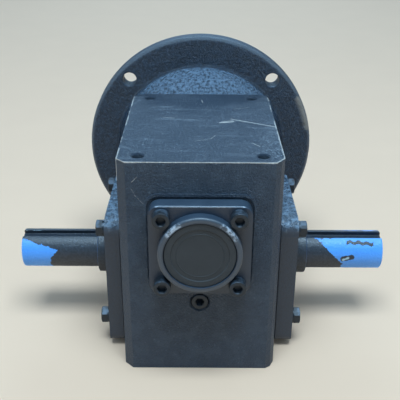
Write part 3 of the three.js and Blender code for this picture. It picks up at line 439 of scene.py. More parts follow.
def housing_paint():
    """Semi-gloss black enamel: worn bright on the top edges, with painted highlight mixed into the wear
    along the side edges and painted glints on the front face; scratched and dusty on the top face.
    """
    g = Look("housing_paint", specular=0.75)
    top = g.step(g.nz, 0.8, 0.95)
    front = g.step(g.ny, -0.8, -0.95)
    grain = g.step(g.noise(1.3, 4, 0.7), 0.34, 0.66)
    patches = g.noise(28, 4, 0.6)
    wobble = g.wobbled(0.9, 3)
    ragged = g.noise(1.6, 4, 0.7, seed=7.0)
    broken = g.noise(9, 3, 0.6, seed=2.0)

    edge = SIDE - LEFT_CHAMFER
    front_edge = g.distance((-edge, FRONT, TOP), (edge, FRONT, TOP))
    corner_near = g.step(g.math("ABSOLUTE", g.x), 26, 42)
    reach = g.plus(-0.10, g.times(corner_near, 0.22), g.times(ragged, 0.75))
    wear_and_highlight = g.step(g.math("SUBTRACT", front_edge, reach), 0.22, 0.0)
    corners = g.math("MINIMUM", g.distance((-edge, FRONT, TOP), (-SIDE, FRONT + 5, TOP)),
                     g.distance((edge, FRONT, TOP), (SIDE, FRONT + 7, TOP)))
    wear_and_highlight = g.most(wear_and_highlight, g.times(g.step(g.math("SUBTRACT", corners, ragged), 0.1, -0.2), 0.8))
    # Along the top side edges, most on the right front: rubbed paint with a painted highlight of the rounded
    # edge mixed in.
    sides = g.math("SUBTRACT", SIDE, g.math("ABSOLUTE", g.x))
    high = g.math("SUBTRACT", TOP, g.z)
    side_wear_and_highlight = g.step(g.plus(sides, high, g.times(ragged, -1.7)), 0.0, -0.35)
    right_front = g.times(g.step(g.x, 0, 5), g.step(g.y, 5, -12))
    side_share = g.step(g.plus(broken, g.times(right_front, 0.12)), 0.44, 0.60)
    wear_and_highlight = g.most(wear_and_highlight, g.times(side_wear_and_highlight, side_share, 0.7))
    left_edge = FRONT + LEFT_CHAMFER
    down_left = g.distance((-SIDE, left_edge, TOP), (-SIDE, left_edge, TOP - 13))
    wear_and_highlight = g.most(wear_and_highlight, g.step(g.math("SUBTRACT", down_left, g.times(ragged, 0.7)), 0.2, -0.05))

    bright = g.most(*[g.line(start, end, width, wobble) for start, end, width in GOUGE])
    faint = g.most(*[g.line(start, end, width, wobble) for start, end, width in SMALL_SCRATCHES])

    slant = g.turned_about_z(-52)
    hair_zone = g.times(g.step(g.noise(16, 2, seed=6.0), 0.46, 0.62), top)
    hairs = g.times(g.step(g.noise(0.5, 1, 0.5, (1, 40, 1), slant, 4.0), 0.56, 0.72), hair_zone)
    dust = g.times(g.step(g.noise(1.3, 2, 0.6, seed=1.0), 0.58, 0.70), g.step(patches, 0.40, 0.56))
    scuff_zone = g.times(top, g.step(g.distance((45, -20, TOP), (43, -50, TOP)), 15, 2))
    scuffs = g.times(scuff_zone, g.step(g.noise(1.5, 4, 0.8, seed=9.0), 0.52, 0.62))
    smear_zone = g.times(top, g.step(g.distance((-42, 47, TOP), (-22, 26, TOP)), 15, 3))
    smears = g.times(smear_zone, g.step(g.noise(3.0, 3, 0.65, (2.4, 1, 1), seed=5.0), 0.54, 0.66))
    streaks = g.times(top, g.step(g.noise(5, 3, 0.6, (7, 1, 1), seed=12.0), 0.50, 0.72))

    colour = g.colours(patches, PAINT_DARK, PAINT)
    colour = g.colours(g.times(grain, 0.7), colour, (0.024, 0.048, 0.084))
    # Painted glints on the front face only: light flecks with soft lighter clouds.
    clouds = g.times(g.step(broken, 0.45, 0.60), 0.35)
    glint_flecks = g.plus(g.step(g.noise(1.4, 2, seed=8.0), 0.60, 0.72), clouds)
    colour = g.colours(g.times(front, glint_flecks, 0.5), colour, PAINTED_SHEEN)
    marks = g.most(g.times(dust, top, 0.7), g.times(hairs, 0.5), scuffs)
    marks = g.most(marks, g.times(smears, 0.7), g.times(streaks, 0.30))
    colour = g.colours(marks, colour, CHALKY)
    # Bare metal from wear and gouges, with a painted highlight along the side edges.
    colour = g.colours(g.most(wear_and_highlight, bright, g.times(faint, 0.6)), colour, BARE)

    roughness = g.plus(g.remap(top, 0, 1, 0.42, 0.30), g.times(grain, 0.10), g.times(marks, 0.2))
    normal = g.bump(grain, 0.55)
    normal = g.bump(patches, 0.9, normal)
    ripples = g.noise(6, 3, 0.5, (3.2, 1, 1), seed=11.0)
    low_front = g.times(front, g.step(g.z, 24, 8))
    normal = g.bump(g.times(ripples, low_front), 0.8, normal)
    return g.done(colour, roughness, normal)


def cast_paint():
    """Thin black enamel over the grains of a sand casting, with painted sparkle, a painted sheen on the
    bell's top and a painted highlight round the flange's rim.
    """
    g = Look("cast_paint", specular=0.8)
    grain = g.noise(1.9, 5, 0.75)
    painted_sparkle = g.step(g.noise(1.1, 3, 0.7, seed=2.0), 0.58, 0.72)
    patches = g.noise(22, 3, 0.6)
    bell = g.step(g.y, FLANGE_FRONT - 1.5, FLANGE_FRONT - 4)
    up = g.math("SUBTRACT", g.z, WORM_Z)
    radius = g.math("SQRT", g.plus(g.times(g.x, g.x), g.times(up, up)))
    ragged = g.noise(2.2, 4, 0.7, seed=5.0)
    rim = g.times(g.step(g.plus(radius, g.times(ragged, 1.6)), FLANGE_RADIUS - 1.6, FLANGE_RADIUS - 0.5),
                  g.step(g.y, FLANGE_FRONT + 4.5, FLANGE_FRONT + 2.0))
    spot_zone = g.distance((72.5, FLANGE_FRONT, WORM_Z + 38), (80.5, FLANGE_FRONT, WORM_Z + 17))
    rub = g.step(g.plus(spot_zone, g.times(ragged, -5)), 1.2, -0.8)
    rub = g.times(rub, g.step(radius, FLANGE_RADIUS - 6, FLANGE_RADIUS - 2))
    colour = g.colours(g.step(grain, 0.38, 0.62), (0.002, 0.008, 0.020), (0.016, 0.038, 0.070))
    # Painted sparkle: light specks that stand in for glints off the grains.
    colour = g.colours(g.times(painted_sparkle, g.remap(patches, 0.3, 0.7, 0.35, 0.8)), colour, (0.13, 0.18, 0.24))
    # Painted sheen: a bluish light tone over the top of the bell, strongest on the high grains.
    bell_top_sheen = g.times(bell, g.step(up, 20, 50))
    high_grains = g.remap(g.step(grain, 0.40, 0.60), 0, 1, 0.15, 1.0)
    colour = g.colours(g.times(bell_top_sheen, high_grains), colour, (0.130, 0.200, 0.285))
    # Painted highlight round the flange's rounded rim.
    colour = g.colours(g.times(rim, 0.35), colour, (0.16, 0.19, 0.22))
    colour = g.colours(g.times(rub, 0.8), colour, (0.27, 0.23, 0.19))
    roughness = g.plus(g.remap(bell, 0, 1, 0.38, 0.16), g.times(grain, 0.12))
    normal = g.bump(grain, 1.6)
    normal = g.bump(patches, 0.6, normal)
    return g.done(colour, roughness, normal)


def cover_paint():
    """Glossier enamel that wrinkled where it lay thick, on top of the plates, with painted highlights on the
    upward wrinkles.
    """
    g = Look("cover_paint", specular=0.9)
    up = g.step(g.nz, 0.15, 0.7)
    wrinkles = g.noise(3.2, 3, 0.6, seed=4.0)
    grain = g.step(g.noise(1.3, 4, 0.7), 0.34, 0.66)
    colour = g.colours(grain, PAINT_DARK, PAINT)
    # Painted highlight: bluish light on the upward-facing wrinkles.
    wrinkle_highlight = g.times(up, g.remap(g.step(wrinkles, 0.46, 0.60), 0, 1, 0.25, 0.9))
    colour = g.colours(wrinkle_highlight, colour, (0.170, 0.250, 0.340))
    roughness = g.plus(g.remap(up, 0, 1, 0.45, 0.24), g.times(grain, 0.1))
    normal = g.bump(grain, 0.08)
    normal = g.bump(g.times(wrinkles, up), 2.4, normal)
    return g.done(colour, roughness, normal)


def cap_paint():
    """Enamel on the bearing cap, with painted highlights on the boss's shoulder and the plate's top edge,
    and a painted sheen on its upward faces.
    """
    g = Look("cap_paint", specular=0.8)
    grain = g.noise(0.9, 4, 0.65)
    patches = g.noise(14, 3, 0.6)
    ragged = g.noise(2.0, 4, 0.7, seed=6.0)
    up = g.step(g.nz, 0.3, 0.9)
    high = g.math("SUBTRACT", g.z, WORM_Z)
    radius = g.math("SQRT", g.plus(g.times(g.x, g.x), g.times(high, high)))
    shoulder = g.times(g.step(g.y, CAP_FACE - 4.6, CAP_FACE - 5.6), g.step(radius, 20.9, 21.6))
    # Painted highlight spots at the left and right of the shoulder's top.
    left_end = g.distance((-17, BOSS_FACE, WORM_Z + 14), (-12, BOSS_FACE, WORM_Z + 18.5))
    right_end = g.distance((13, BOSS_FACE, WORM_Z + 18), (18.5, BOSS_FACE, WORM_Z + 12))
    highlight_ends = g.most(g.step(left_end, 3.2, 1.0), g.step(right_end, 3.2, 1.0))
    wear_and_highlight = g.times(shoulder, highlight_ends, g.step(ragged, 0.42, 0.56))
    plate_edge = g.distance((-26, CAP_FACE, WORM_Z + 28), (26, CAP_FACE, WORM_Z + 28))
    edge_highlight = g.times(g.step(g.plus(plate_edge, g.times(ragged, -0.9)), 0.35, 0.0), 0.7)
    colour = g.colours(grain, PAINT_DARK, PAINT)
    # Painted sheen: lighter patches on the upward faces.
    colour = g.colours(g.times(up, patches, 0.5), colour, PAINTED_SHEEN)
    # Painted highlight: a light ring round the boss's rounded shoulder.
    colour = g.colours(g.times(shoulder, 0.3), colour, (0.11, 0.135, 0.16))
    # Painted highlights: spots on the shoulder's top and a line along the plate's top edge.
    colour = g.colours(g.most(wear_and_highlight, edge_highlight), colour, (0.42, 0.48, 0.55))
    roughness = g.plus(0.38, g.times(grain, 0.14))
    normal = g.bump(patches, 0.4, g.bump(grain, 0.07))
    return g.done(colour, roughness, normal)


def closure_rubber():
    """Matt rubber moulded over a steel cup, with dust in its low rings."""
    g = Look("closure_rubber", specular=0.35)
    grain = g.noise(0.5, 3, 0.6)
    patches = g.noise(9, 3, 0.6)
    dust = g.times(g.step(g.noise(0.8, 2, 0.6, seed=2.0), 0.7, 0.78), g.step(patches, 0.45, 0.6))
    colour = g.colours(patches, (0.030, 0.033, 0.036), (0.048, 0.052, 0.056))
    colour = g.colours(g.times(dust, 0.5), colour, (0.22, 0.24, 0.26))
    normal = g.bump(grain, 0.03)
    return g.done(colour, g.plus(0.55, g.times(grain, 0.2)), normal)


def black_fastener():
    """Black oxide under overspray, with a painted light-blue highlight in patches on its upward faces."""
    g = Look("black_fastener", metallic=0.25)
    grain = g.noise(0.6, 3, 0.6)
    patches = g.noise(4, 3, 0.6)
    up = g.step(g.nz, 0.3, 0.9)
    colour = g.colours(patches, (0.012, 0.016, 0.021), (0.030, 0.038, 0.048))
    # Painted highlight: light-blue patches on the upward faces.
    colour = g.colours(g.times(up, g.step(patches, 0.42, 0.62), 0.6), colour, (0.11, 0.15, 0.20))
    return g.done(colour, g.plus(0.30, g.times(grain, 0.2)), g.bump(grain, 0.05))


def blue_patches(g, angle, coarse, fine):
    """Where the blue coating shows: 1 on it, 0 on the black. Angles run from straight up, in degrees."""
    ragged = g.plus(g.times(coarse, 3.0), g.times(fine, 4.0))
    left_top = g.remap(g.x, -118.3, -94.4, 35, 69)
    left_edge = g.remap(angle, 72, 97, -94.4, -99.5)
    left_round = g.times(g.math("SUBTRACT", angle, left_top), MM_PER_DEGREE)
    left = g.math("MINIMUM", left_round, g.math("SUBTRACT", left_edge, g.x))
    right = g.math("SUBTRACT", g.x, g.remap(angle, 27, 110, 76.5, 94.6))
    keyway_side = g.times(g.math("SUBTRACT", angle, 27), MM_PER_DEGREE)
    right = g.math("MINIMUM", right, g.plus(keyway_side, g.times(g.step(g.x, 86, 100), 3.0)))
    blue = g.step(g.plus(g.most(left, right), ragged), -0.12, 0.12)

    wave = g.times(g.math("SINE", g.times(g.x, 1.15)), 0.5)
    band = g.times(g.math("SUBTRACT", angle, g.remap(g.x, 97, 118, 40, 47)), MM_PER_DEGREE)
    band = g.math("SUBTRACT", 1.2, g.math("ABSOLUTE", g.plus(band, wave)))
    band_ends = g.math("MINIMUM", g.math("SUBTRACT", g.x, 97), g.math("SUBTRACT", 115, g.x))
    band = g.math("MINIMUM", band, band_ends)
    blob = g.distance((95, -SHAFT_RADIUS, OUTPUT_Z - 0.6), (100.5, -SHAFT_RADIUS, OUTPUT_Z + 0.6))
    blob = g.math("SUBTRACT", 1.9, blob)
    overspray = g.step(g.plus(g.most(band, blob), g.times(ragged, 0.55)), -0.1, 0.15)
    loose_ends = g.times(g.step(g.x, 84, 79), g.step(g.x, 74, 79))
    loose = g.times(loose_ends, g.step(g.noise(2.0, 2, 0.5, seed=9.0), 0.5, 0.56))
    rim_noise = g.noise(2.4, 3, 0.6, (2.5, 1, 1), seed=6.0)
    rim = g.times(g.step(angle, 24, 16), g.step(rim_noise, 0.53, 0.47))
    blue = g.times(blue, g.flip(g.most(overspray, loose, rim)))
    # Faces square to the axis, both the ends and the shoulders, are blue nearly all over.
    square_faces = g.step(g.math("ABSOLUTE", g.nx), 0.8, 0.95)
    return g.most(blue, g.times(square_faces, g.step(coarse, -0.16, -0.10)))


def lip_highlight_and_line(g, fine):
    """Light cyan marks: a painted highlight on the left keyway's lip, and a light line through the middle of
    the dark spot.
    """
    tip = g.distance((-117.5, -0.4, OUTPUT_Z + 12.6), (-107, -0.2, OUTPUT_Z + 12.7))
    tip = g.step(g.plus(tip, g.times(fine, 2.4)), 1.1, 0.5)
    tip = g.times(tip, g.step(g.x, -100, -106))
    start, end = (95, -SHAFT_RADIUS, OUTPUT_Z - 1.4), (98.5, -SHAFT_RADIUS, OUTPUT_Z + 0.2)
    return g.most(tip, g.times(g.line(start, end, 1.3, g.wobbled(1.5, 2)), 0.8))


def shaft_coating():
    """Blue protective coating on the shaft ends, half hidden by black overspray from above."""
    g = Look("shaft_coating", specular=0.7)
    up = g.math("SUBTRACT", g.z, OUTPUT_Z)
    turn = g.times(g.math("ARCTAN2", g.times(g.y, -1.0), up), 180 / math.pi)
    angle = g.math("ABSOLUTE", turn)
    coarse = g.plus(g.noise(4.0, 3, 0.55), -0.5)
    fine = g.plus(g.noise(1.3, 4, 0.65, seed=3.0), -0.5)
    blue = blue_patches(g, angle, coarse, fine)

    grain = g.noise(0.8, 4, 0.65)
    mottled = g.step(g.noise(1.5, 4, 0.7, seed=12.0), 0.40, 0.62)
    texture = g.plus(g.times(grain, 0.5), g.times(mottled, 0.5))
    black = g.colours(texture, OXIDE_DARK, OXIDE)
    # Painted glints: light flecks on the black, on the upper side of the shaft only.
    glint_flecks = g.times(g.step(g.noise(1.1, 3, 0.65, seed=8.0), 0.62, 0.70), g.step(angle, 80, 55))
    black = g.colours(g.times(glint_flecks, 0.5), black, (0.22, 0.32, 0.45))
    coat = g.colours(g.noise(7, 3, 0.5), BLUE_DEEP, BLUE)
    colour = g.colours(blue, black, coat)
    # A painted highlight on the left keyway's lip, and a light line in the dark spot.
    colour = g.colours(lip_highlight_and_line(g, fine), colour, (0.55, 0.75, 0.82))
    low = g.step(angle, 62, 70)
    roughness = g.plus(0.27, g.times(grain, 0.18), g.times(low, 0.12))
    return g.done(colour, roughness, g.bump(blue, 0.08, g.bump(texture, 0.16)))


def seal_rubber():
    g = Look("seal_rubber", specular=0.3)
    grain = g.noise(0.6, 3, 0.6)
    colour = g.colours(g.noise(5, 3), (0.010, 0.010, 0.011), (0.020, 0.021, 0.022))
    return g.done(colour, g.plus(0.6, g.times(grain, 0.2)), g.bump(grain, 0.04))


def gasket_sheet():
    g = Look("gasket_sheet", specular=0.25)
    fibres = g.noise(0.9, 4, 0.7, (1, 1, 0.4))
    colour = g.colours(fibres, (0.012, 0.012, 0.011), (0.035, 0.034, 0.030))
    return g.done(colour, g.plus(0.75, g.times(fibres, 0.15)), g.bump(fibres, 0.08))


def machined_metal(name, dark, light, roughness, stretch):
    """Turned or ground metal whose fine lines run round the part's axis."""
    g = Look(name, metallic=1.0)
    lines = g.noise(0.25, 2, 0.55, stretch)
    patches = g.noise(6, 3, 0.6)
    colour = g.colours(g.plus(g.times(lines, 0.6), g.times(patches, 0.4)), dark, light)
    return g.done(colour, g.plus(roughness, g.times(lines, 0.15)), g.bump(lines, 0.02))


ROUND_X, ROUND_Y = (1, 50, 50), (50, 1, 50)
LOOKS = {
    "housing": housing_paint(),
    "cast": cast_paint(),
    "cover": cover_paint(),
    "cap": cap_paint(),
    "closure": closure_rubber(),
    "fastener": black_fastener(),
    "shaft": shaft_coating(),
    "seal": seal_rubber(),
    "gasket": gasket_sheet(),
    "worm": machined_metal("worm_steel", (0.30, 0.31, 0.33), (0.56, 0.57, 0.60), 0.26, ROUND_Y),
    "bearing_y": machined_metal("bearing_steel_y", (0.46, 0.47, 0.49), (0.66, 0.67, 0.69), 0.18, ROUND_Y),
    "bearing_x": machined_metal("bearing_steel_x", (0.46, 0.47, 0.49), (0.66, 0.67, 0.69), 0.18, ROUND_X),
    "bronze": machined_metal("wheel_bronze", (0.45, 0.25, 0.09), (0.74, 0.47, 0.20), 0.30, ROUND_X),
    "iron": machined_metal("hub_iron", (0.10, 0.10, 0.11), (0.22, 0.22, 0.23), 0.50, ROUND_X),
}


# ------------------------------------------------------------------ housing

def foot_hole(x, y, face, inward):
    radius, mouth, depth = 3.3, 4.1, 14
    return lathe("Z", (x, y), [
        (0, face + inward * depth),
        (radius, face + inward * depth),
        (radius, face + inward * (mouth - radius)),
        (mouth, face),
        (mouth, face - inward),
        (0, face - inward),
    ], 40)


def housing_block():
    outline = soften([
        (-SIDE + LEFT_CHAMFER, FRONT, 0.8),
        (SIDE - 5.4, FRONT, 0.8),
        (SIDE - 2.4, FRONT + 2.0, 0.8),
        (SIDE, FRONT + 6.8, 1.2),
        (SIDE, BACK, 8),
        (-SIDE, BACK, 8),
        (-SIDE, FRONT + LEFT_CHAMFER, 0.5),
    ], 5)
    return prism("Z", outline, 0, TOP, rim=0.35)


def paint_bead():
    """The ridge of paint that built up on the front face round the bearing cap."""
    half_a, half_b = (cap_high.x - cap_low.x) / 2, (cap_high.z - cap_low.z) / 2
    outside = rectangle(WORM_AXIS, half_a + 3.2, half_b + 3.0, 8.5)
    inside = rectangle(WORM_AXIS, half_a + 1.5, half_b + 1.4, 7.0)
    ridge = prism("Y", outside, FRONT - 0.9, FRONT + 1, rim=0.5, rim_steps=4)
    return combine(ridge, [prism("Y", inside, FRONT - 2, FRONT + 2)])


def plug_hole(back):
    return lathe("Y", (0, PLUG_Z), [
        (0, FRONT - 1),
        (PLUG_HOLE + 1.7, FRONT - 1),
        (PLUG_HOLE + 0.9, FRONT),
        (PLUG_HOLE, FRONT + 1),
        (PLUG_HOLE, back),
        (0, back),
    ], 64)


def make_housing():
    pads = prism("X", rectangle(OUTPUT_AXIS, PAD_HALF, PAD_HALF, PAD_CORNER), -PAD, PAD, rim=0.3)
    block = combine(housing_block(), [pads, paint_bead()], "UNION")
    front_wall, back_wall = FRONT + 16.5, BACK - 20
    middle, half_depth = (front_wall + back_wall) / 2, (back_wall - front_wall) / 2
    cutters = [
        prism("Z", rectangle((0, middle), SIDE - 8.85, half_depth, 8), 10, TOP - 12, rim=3),
        rod("X", OUTPUT_AXIS, 35, -PAD - 1, PAD + 1, 96),
        rod("Y", WORM_AXIS, 25.05, FRONT - 1, front_wall + 1, 96),
        rod("Y", WORM_AXIS, 26.05, 43.95, BACK + 1, 96),
        rod("Y", WORM_AXIS, 22, back_wall - 1, BACK, 96),
        plug_hole(front_wall + 1),
    ]
    for x in (-35, 35):
        for y in (-53.2, 53.2):
            cutters += [foot_hole(x, y, TOP, -1), foot_hole(x, y, 0, 1)]
    for low, high in ((PAD - 8, PAD + 1), (-PAD - 1, -PAD + 8)):
        cutters += corner_rods("X", OUTPUT_AXIS, COVER_BOLT, COVER_BOLT_HOLE, low, high, 24)
    cutters += corner_rods("Y", WORM_AXIS, CAP_SCREW, CAP_SCREW_HOLE, FRONT - 1, FRONT + 12, 24)
    cutters += corner_rods("Y", WORM_AXIS, FLANGE_SCREW, FLANGE_SCREW_HOLE, BACK - 15, BACK + 1, 24)
    piece("housing", combine(block, cutters), LOOKS["housing"])


# ------------------------------------------------------------------ fasteners

def socket_screw(at, seat, out, head, head_height, flats, shank, length):
    """A socket-head screw along Y. Its head stands out from the seat, towards out (-1 or 1)."""
    top, tip = seat + out * head_height, seat - out * length
    profile = [(0, top), (head, top, 0.55), (head, seat, 0.15), (shank, seat), (shank, tip), (0, tip)]
    body = lathe("Y", at, soften(profile, 4), 48)
    low, high = sorted((top + out, top - out * head_height * 0.55))
    floor = top - out * 0.45
    cone = [(0, top + out), (flats * 0.62 + 1, top + out), (flats * 0.5, floor), (0, floor)]
    mouth = lathe("Y", at, cone, 48)
    return combine(body, [prism("Y", hexagon(at, flats), low, high), mouth])


def make_cap_screws():
    for corner, (dx, dz) in CORNERS.items():
        at = (dx * CAP_SCREW, WORM_Z + dz * CAP_SCREW)
        screw = socket_screw(at, CAP_FACE - 0.05, -1, 5, 6, 5, 3, 20)
        piece(f"cap_screw_{corner}", screw, LOOKS["fastener"])


def make_flange_screws():
    for corner, (dx, dz) in CORNERS.items():
        at = (dx * FLANGE_SCREW, WORM_Z + dz * FLANGE_SCREW)
        screw = socket_screw(at, FLANGE_SCREW_SEAT, 1, 6.5, 8, 6, 4, 23)
        piece(f"flange_screw_{corner}", screw, LOOKS["fastener"])


def hex_bolt(at, cover_face):
    seat = cover_face + 0.1 + washer_high.x - washer_low.x
    top = seat + 4
    flats = 10
    reach = flats / math.sqrt(3)
    head = prism("X", hexagon(at, flats, math.pi / 6), seat, top)
    dome = lathe("X", at, [
        (0, seat - 1),
        (reach + 1, seat - 1),
        (reach + 0.2, top - 1.0),
        (reach - 0.75, top - 0.2),
        (reach - 1.2, top),
        (0, top),
    ], 64)
    head = combine(head, [dome], "INTERSECT")
    return combine(head, [rod("X", at, 3, bolt_low.x, seat + 1, 32)], "UNION")


def lock_washer(at, turn, cover_face):
    """A spring washer whose ring is slit, with the ends of the slit a little apart."""
    gap, steps = 0.12, 40
    angles = [turn + gap + i * (2 * math.pi - 2 * gap) / steps for i in range(steps + 1)]
    outer = [(at[0] + 5.2 * math.cos(t), at[1] + 5.2 * math.sin(t)) for t in angles]
    inner = [(at[0] + 3.4 * math.cos(t), at[1] + 3.4 * math.sin(t)) for t in reversed(angles)]
    low = cover_face + 0.05
    return prism("X", outer + inner, low, low + washer_high.x - washer_low.x, rim=0.2)


def make_cover_bolts():
    for side_name, side in SIDES.items():
        for i, at in enumerate(corner_spots(OUTPUT_AXIS, COVER_BOLT)):
            bolt = turned_over(hex_bolt(at, COVER_FACES[side]), side)
            piece(f"{side_name}_cover_bolt_{i + 1}", bolt, LOOKS["fastener"])
            washer = turned_over(lock_washer(at, i * 1.3, COVER_FACES[side]), side)
            piece(f"{side_name}_lock_washer_{i + 1}", washer, LOOKS["fastener"])


# ------------------------------------------------------------------ side covers and seals

def cover_bolt_holes(low, high):
    return corner_rods("X", OUTPUT_AXIS, COVER_BOLT, COVER_BOLT_HOLE, low, high)


def lip_seal(axis, centre, shaft, outer, inside, outside):
    step = math.copysign(1, outside - inside)
    profile = soften([
        (outer, outside, 0.3),
        (outer, inside, 0.2),
        (outer - 1.6, inside, 0.2),
        (outer - 1.6, outside - step * 2, 0.5),
        (shaft + 0.25, inside + step * 2, 0.1),
        (shaft + 1.2, outside, 0.5),
    ], 3)
    return lathe(axis, centre, profile, 96)


def make_side_cover(side):
    face = COVER_FACES[side]
    half, foot, top = cover_high.y, cover_low.z, cover_high.z
    outline = soften([(-half, foot, 5), (half, foot, 5), (half, top, 10), (-half, top, 10)], 12)
    plate = prism("X", outline, COVER_BACK, face, rim=1.3, rim_steps=4)
    spigot = rod("X", OUTPUT_AXIS, 34.95, 30, COVER_BACK + 1, 96)
    bore = lathe("X", OUTPUT_AXIS, [
        (0, 29), (29.6, 29), (29.6, 46.4), (22, 46.4), (22, face - 9.5), (25.05, face - 9.5),
        (25.05, face - 0.8), (25.85, face), (25.85, face + 1), (0, face + 1),
    ])
    holes = cover_bolt_holes(COVER_BACK - 1, face + 1)
    return combine(combine(plate, [spigot], "UNION"), [bore, *holes])


def make_side_covers():
    for side_name, side in SIDES.items():
        face = COVER_FACES[side]
        piece(f"{side_name}_cover", turned_over(make_side_cover(side), side), LOOKS["cover"])
        sheet = rectangle(OUTPUT_AXIS, PAD_HALF, PAD_HALF, PAD_CORNER)
        sheet = prism("X", sheet, PAD + 0.05, COVER_BACK - 0.05)
        bore = rod("X", OUTPUT_AXIS, 35.35, PAD, COVER_BACK, 96)
        sheet = combine(sheet, [bore, *cover_bolt_holes(PAD, COVER_BACK)])
        piece(f"{side_name}_cover_gasket", turned_over(sheet, side), LOOKS["gasket"])
        seal = lip_seal("X", OUTPUT_AXIS, SEAT_RADIUS, 25, face - 9, face - 1)
        piece(f"{side_name}_output_seal", turned_over(seal, side), LOOKS["seal"])


# ------------------------------------------------------------------ front bearing cap

def cap_outline():
    return rectangle(WORM_AXIS, (cap_high.x - cap_low.x) / 2, (cap_high.z - cap_low.z) / 2, 6)


def cap_screw_holes(low, high):
    return corner_rods("Y", WORM_AXIS, CAP_SCREW, CAP_SCREW_HOLE, low, high)


def make_front_cap():
    plate = prism("Y", cap_outline(), CAP_FACE, CAP_PLATE_BACK, rim=0.8, rim_steps=3)
    shell = lathe("Y", WORM_AXIS, soften([
        (0, BOSS_FACE), (BOSS_RADIUS, BOSS_FACE, 1.5), (BOSS_RADIUS, CAP_PLATE_BACK - 1),
        (25, CAP_PLATE_BACK - 1), (25, -52), (0, -52),
    ], 4), 128)
    bore = lathe("Y", WORM_AXIS, [
        (0, BOSS_FACE - 1), (21.0, BOSS_FACE - 1), (20.55, BOSS_FACE + 0.4), (20.55, -74.3), (20.05, -74.3),
        (20.05, -61.9), (16.5, -61.9), (16.5, -51), (0, -51),
    ], 128)
    holes = cap_screw_holes(CAP_FACE - 1, CAP_PLATE_BACK + 1)
    cap = combine(combine(plate, [shell], "UNION"), [bore, *holes])
    piece("front_bearing_cap", cap, LOOKS["cap"])
    gasket = prism("Y", cap_outline(), FRONT - 0.55, FRONT - 0.05)
    bore = rod("Y", WORM_AXIS, 25.4, FRONT - 1, FRONT, 96)
    gasket = combine(gasket, [bore, *cap_screw_holes(FRONT - 1, FRONT)])
    piece("cap_gasket", gasket, LOOKS["gasket"])


def make_closure():
    """The pressed-in cup: a rounded rim, a step down to the middle, and one fine raised ring there."""
    face = BOSS_FACE + 0.6
    sunk = face + 0.45
    ring = [(13.2, sunk), (13.35, sunk - 0.16), (13.6, sunk - 0.16), (13.75, sunk)]
    profile = [(0, sunk), *ring, *soften([
        (16.2, sunk, 0.1), (16.6, face, 0.2), (CLOSURE_RADIUS, face, 0.9), (CLOSURE_RADIUS, CLOSURE_BACK),
        (CLOSURE_RADIUS - 1.5, CLOSURE_BACK), (CLOSURE_RADIUS - 1.5, face + 2, 0.6), (0, face + 2),
    ], 4)]
    piece("cap_closure", lathe("Y", WORM_AXIS, profile, 128), LOOKS["closure"])


def make_oil_plug():
    face = plug_low.y
    axis = (0, PLUG_Z)
    profile = [(0, face), (PLUG_RADIUS, face, 0.5), (PLUG_RADIUS, plug_high.y), (0, plug_high.y)]
    body = lathe("Y", axis, soften(profile, 4), 64)
    mouth = lathe("Y", axis, [(0, face - 1), (3.9, face - 1), (2.5, face + 0.4), (0, face + 0.4)], 48)
    socket = prism("Y", hexagon(axis, PLUG_SOCKET_FLATS), face - 1, face + 5)
    piece("oil_level_plug", combine(body, [socket, mouth]), LOOKS["fastener"])


# ------------------------------------------------------------------ motor flange

def bell_sweep(steps=16):
    """The bell's convex sweep from the gearbox face out to the flange."""
    start, first = Vector((47, FLANGE_START)), Vector((52.5, 64.5))
    second, end = Vector((61, 74)), Vector((63.3, FLANGE_FRONT - 0.6))
    points = []
    for i in range(steps + 1):
        t = i / steps
        s = 1 - t
        points.append(tuple(start * s**3 + first * 3 * s * s * t + second * 3 * s * t * t + end * t**3))
    return points


def motor_hole(at):
    return lathe("Y", at, [
        (0, FLANGE_FRONT - 1), (5.7, FLANGE_FRONT - 1), (5.7, FLANGE_FRONT), (5.2, FLANGE_FRONT + 0.5),
        (5.2, FLANGE_BACK + 1), (0, FLANGE_BACK + 1),
    ], 48)


def make_input_flange():
    rim = soften([
        (FLANGE_RADIUS - 8, FLANGE_FRONT),
        (FLANGE_RADIUS, FLANGE_FRONT, 3.2),
        (FLANGE_RADIUS, FLANGE_BACK, 0.9),
        (FLANGE_RADIUS - 8, FLANGE_BACK),
    ], 8)
    outside = lathe("Y", WORM_AXIS, [
        (0, 59.25), (25.5, 59.25), (25.5, FLANGE_START), *bell_sweep(),
        (64.0, FLANGE_FRONT - 0.1), (65.2, FLANGE_FRONT), *rim, (0, FLANGE_BACK),
    ], 192)
    inside = lathe("Y", WORM_AXIS, [
        (0, 58), (16, 58), (16, 65), (20.05, 65), (20.05, 73), (46, 73), (51, 81), (54, 97.5), (57.15, 97.5),
        (57.15, FLANGE_BACK - 0.6), (57.75, FLANGE_BACK), (57.75, FLANGE_BACK + 1), (0, FLANGE_BACK + 1),
    ], 128)
    holes = [motor_hole(at) for at in corner_spots(WORM_AXIS, MOTOR_HOLE)]
    holes += corner_rods("Y", WORM_AXIS, FLANGE_SCREW, FLANGE_SCREW_HOLE, 59, 74)
    piece("input_flange", combine(outside, [inside, *holes]), LOOKS["cast"])


def make_flange_gasket_and_seal():
    low, high = BACK + 0.05, BACK + 0.55
    ring = lathe("Y", WORM_AXIS, [(26.4, low), (45.5, low), (45.5, high), (26.4, high)], 128)
    holes = corner_rods("Y", WORM_AXIS, FLANGE_SCREW, FLANGE_SCREW_HOLE, BACK, BACK + 1)
    piece("flange_gasket", combine(ring, holes), LOOKS["gasket"])
    piece("input_seal", lip_seal("Y", WORM_AXIS, 12.5, 20, 65.3, 72.3), LOOKS["seal"])


# ------------------------------------------------------------------ output shaft

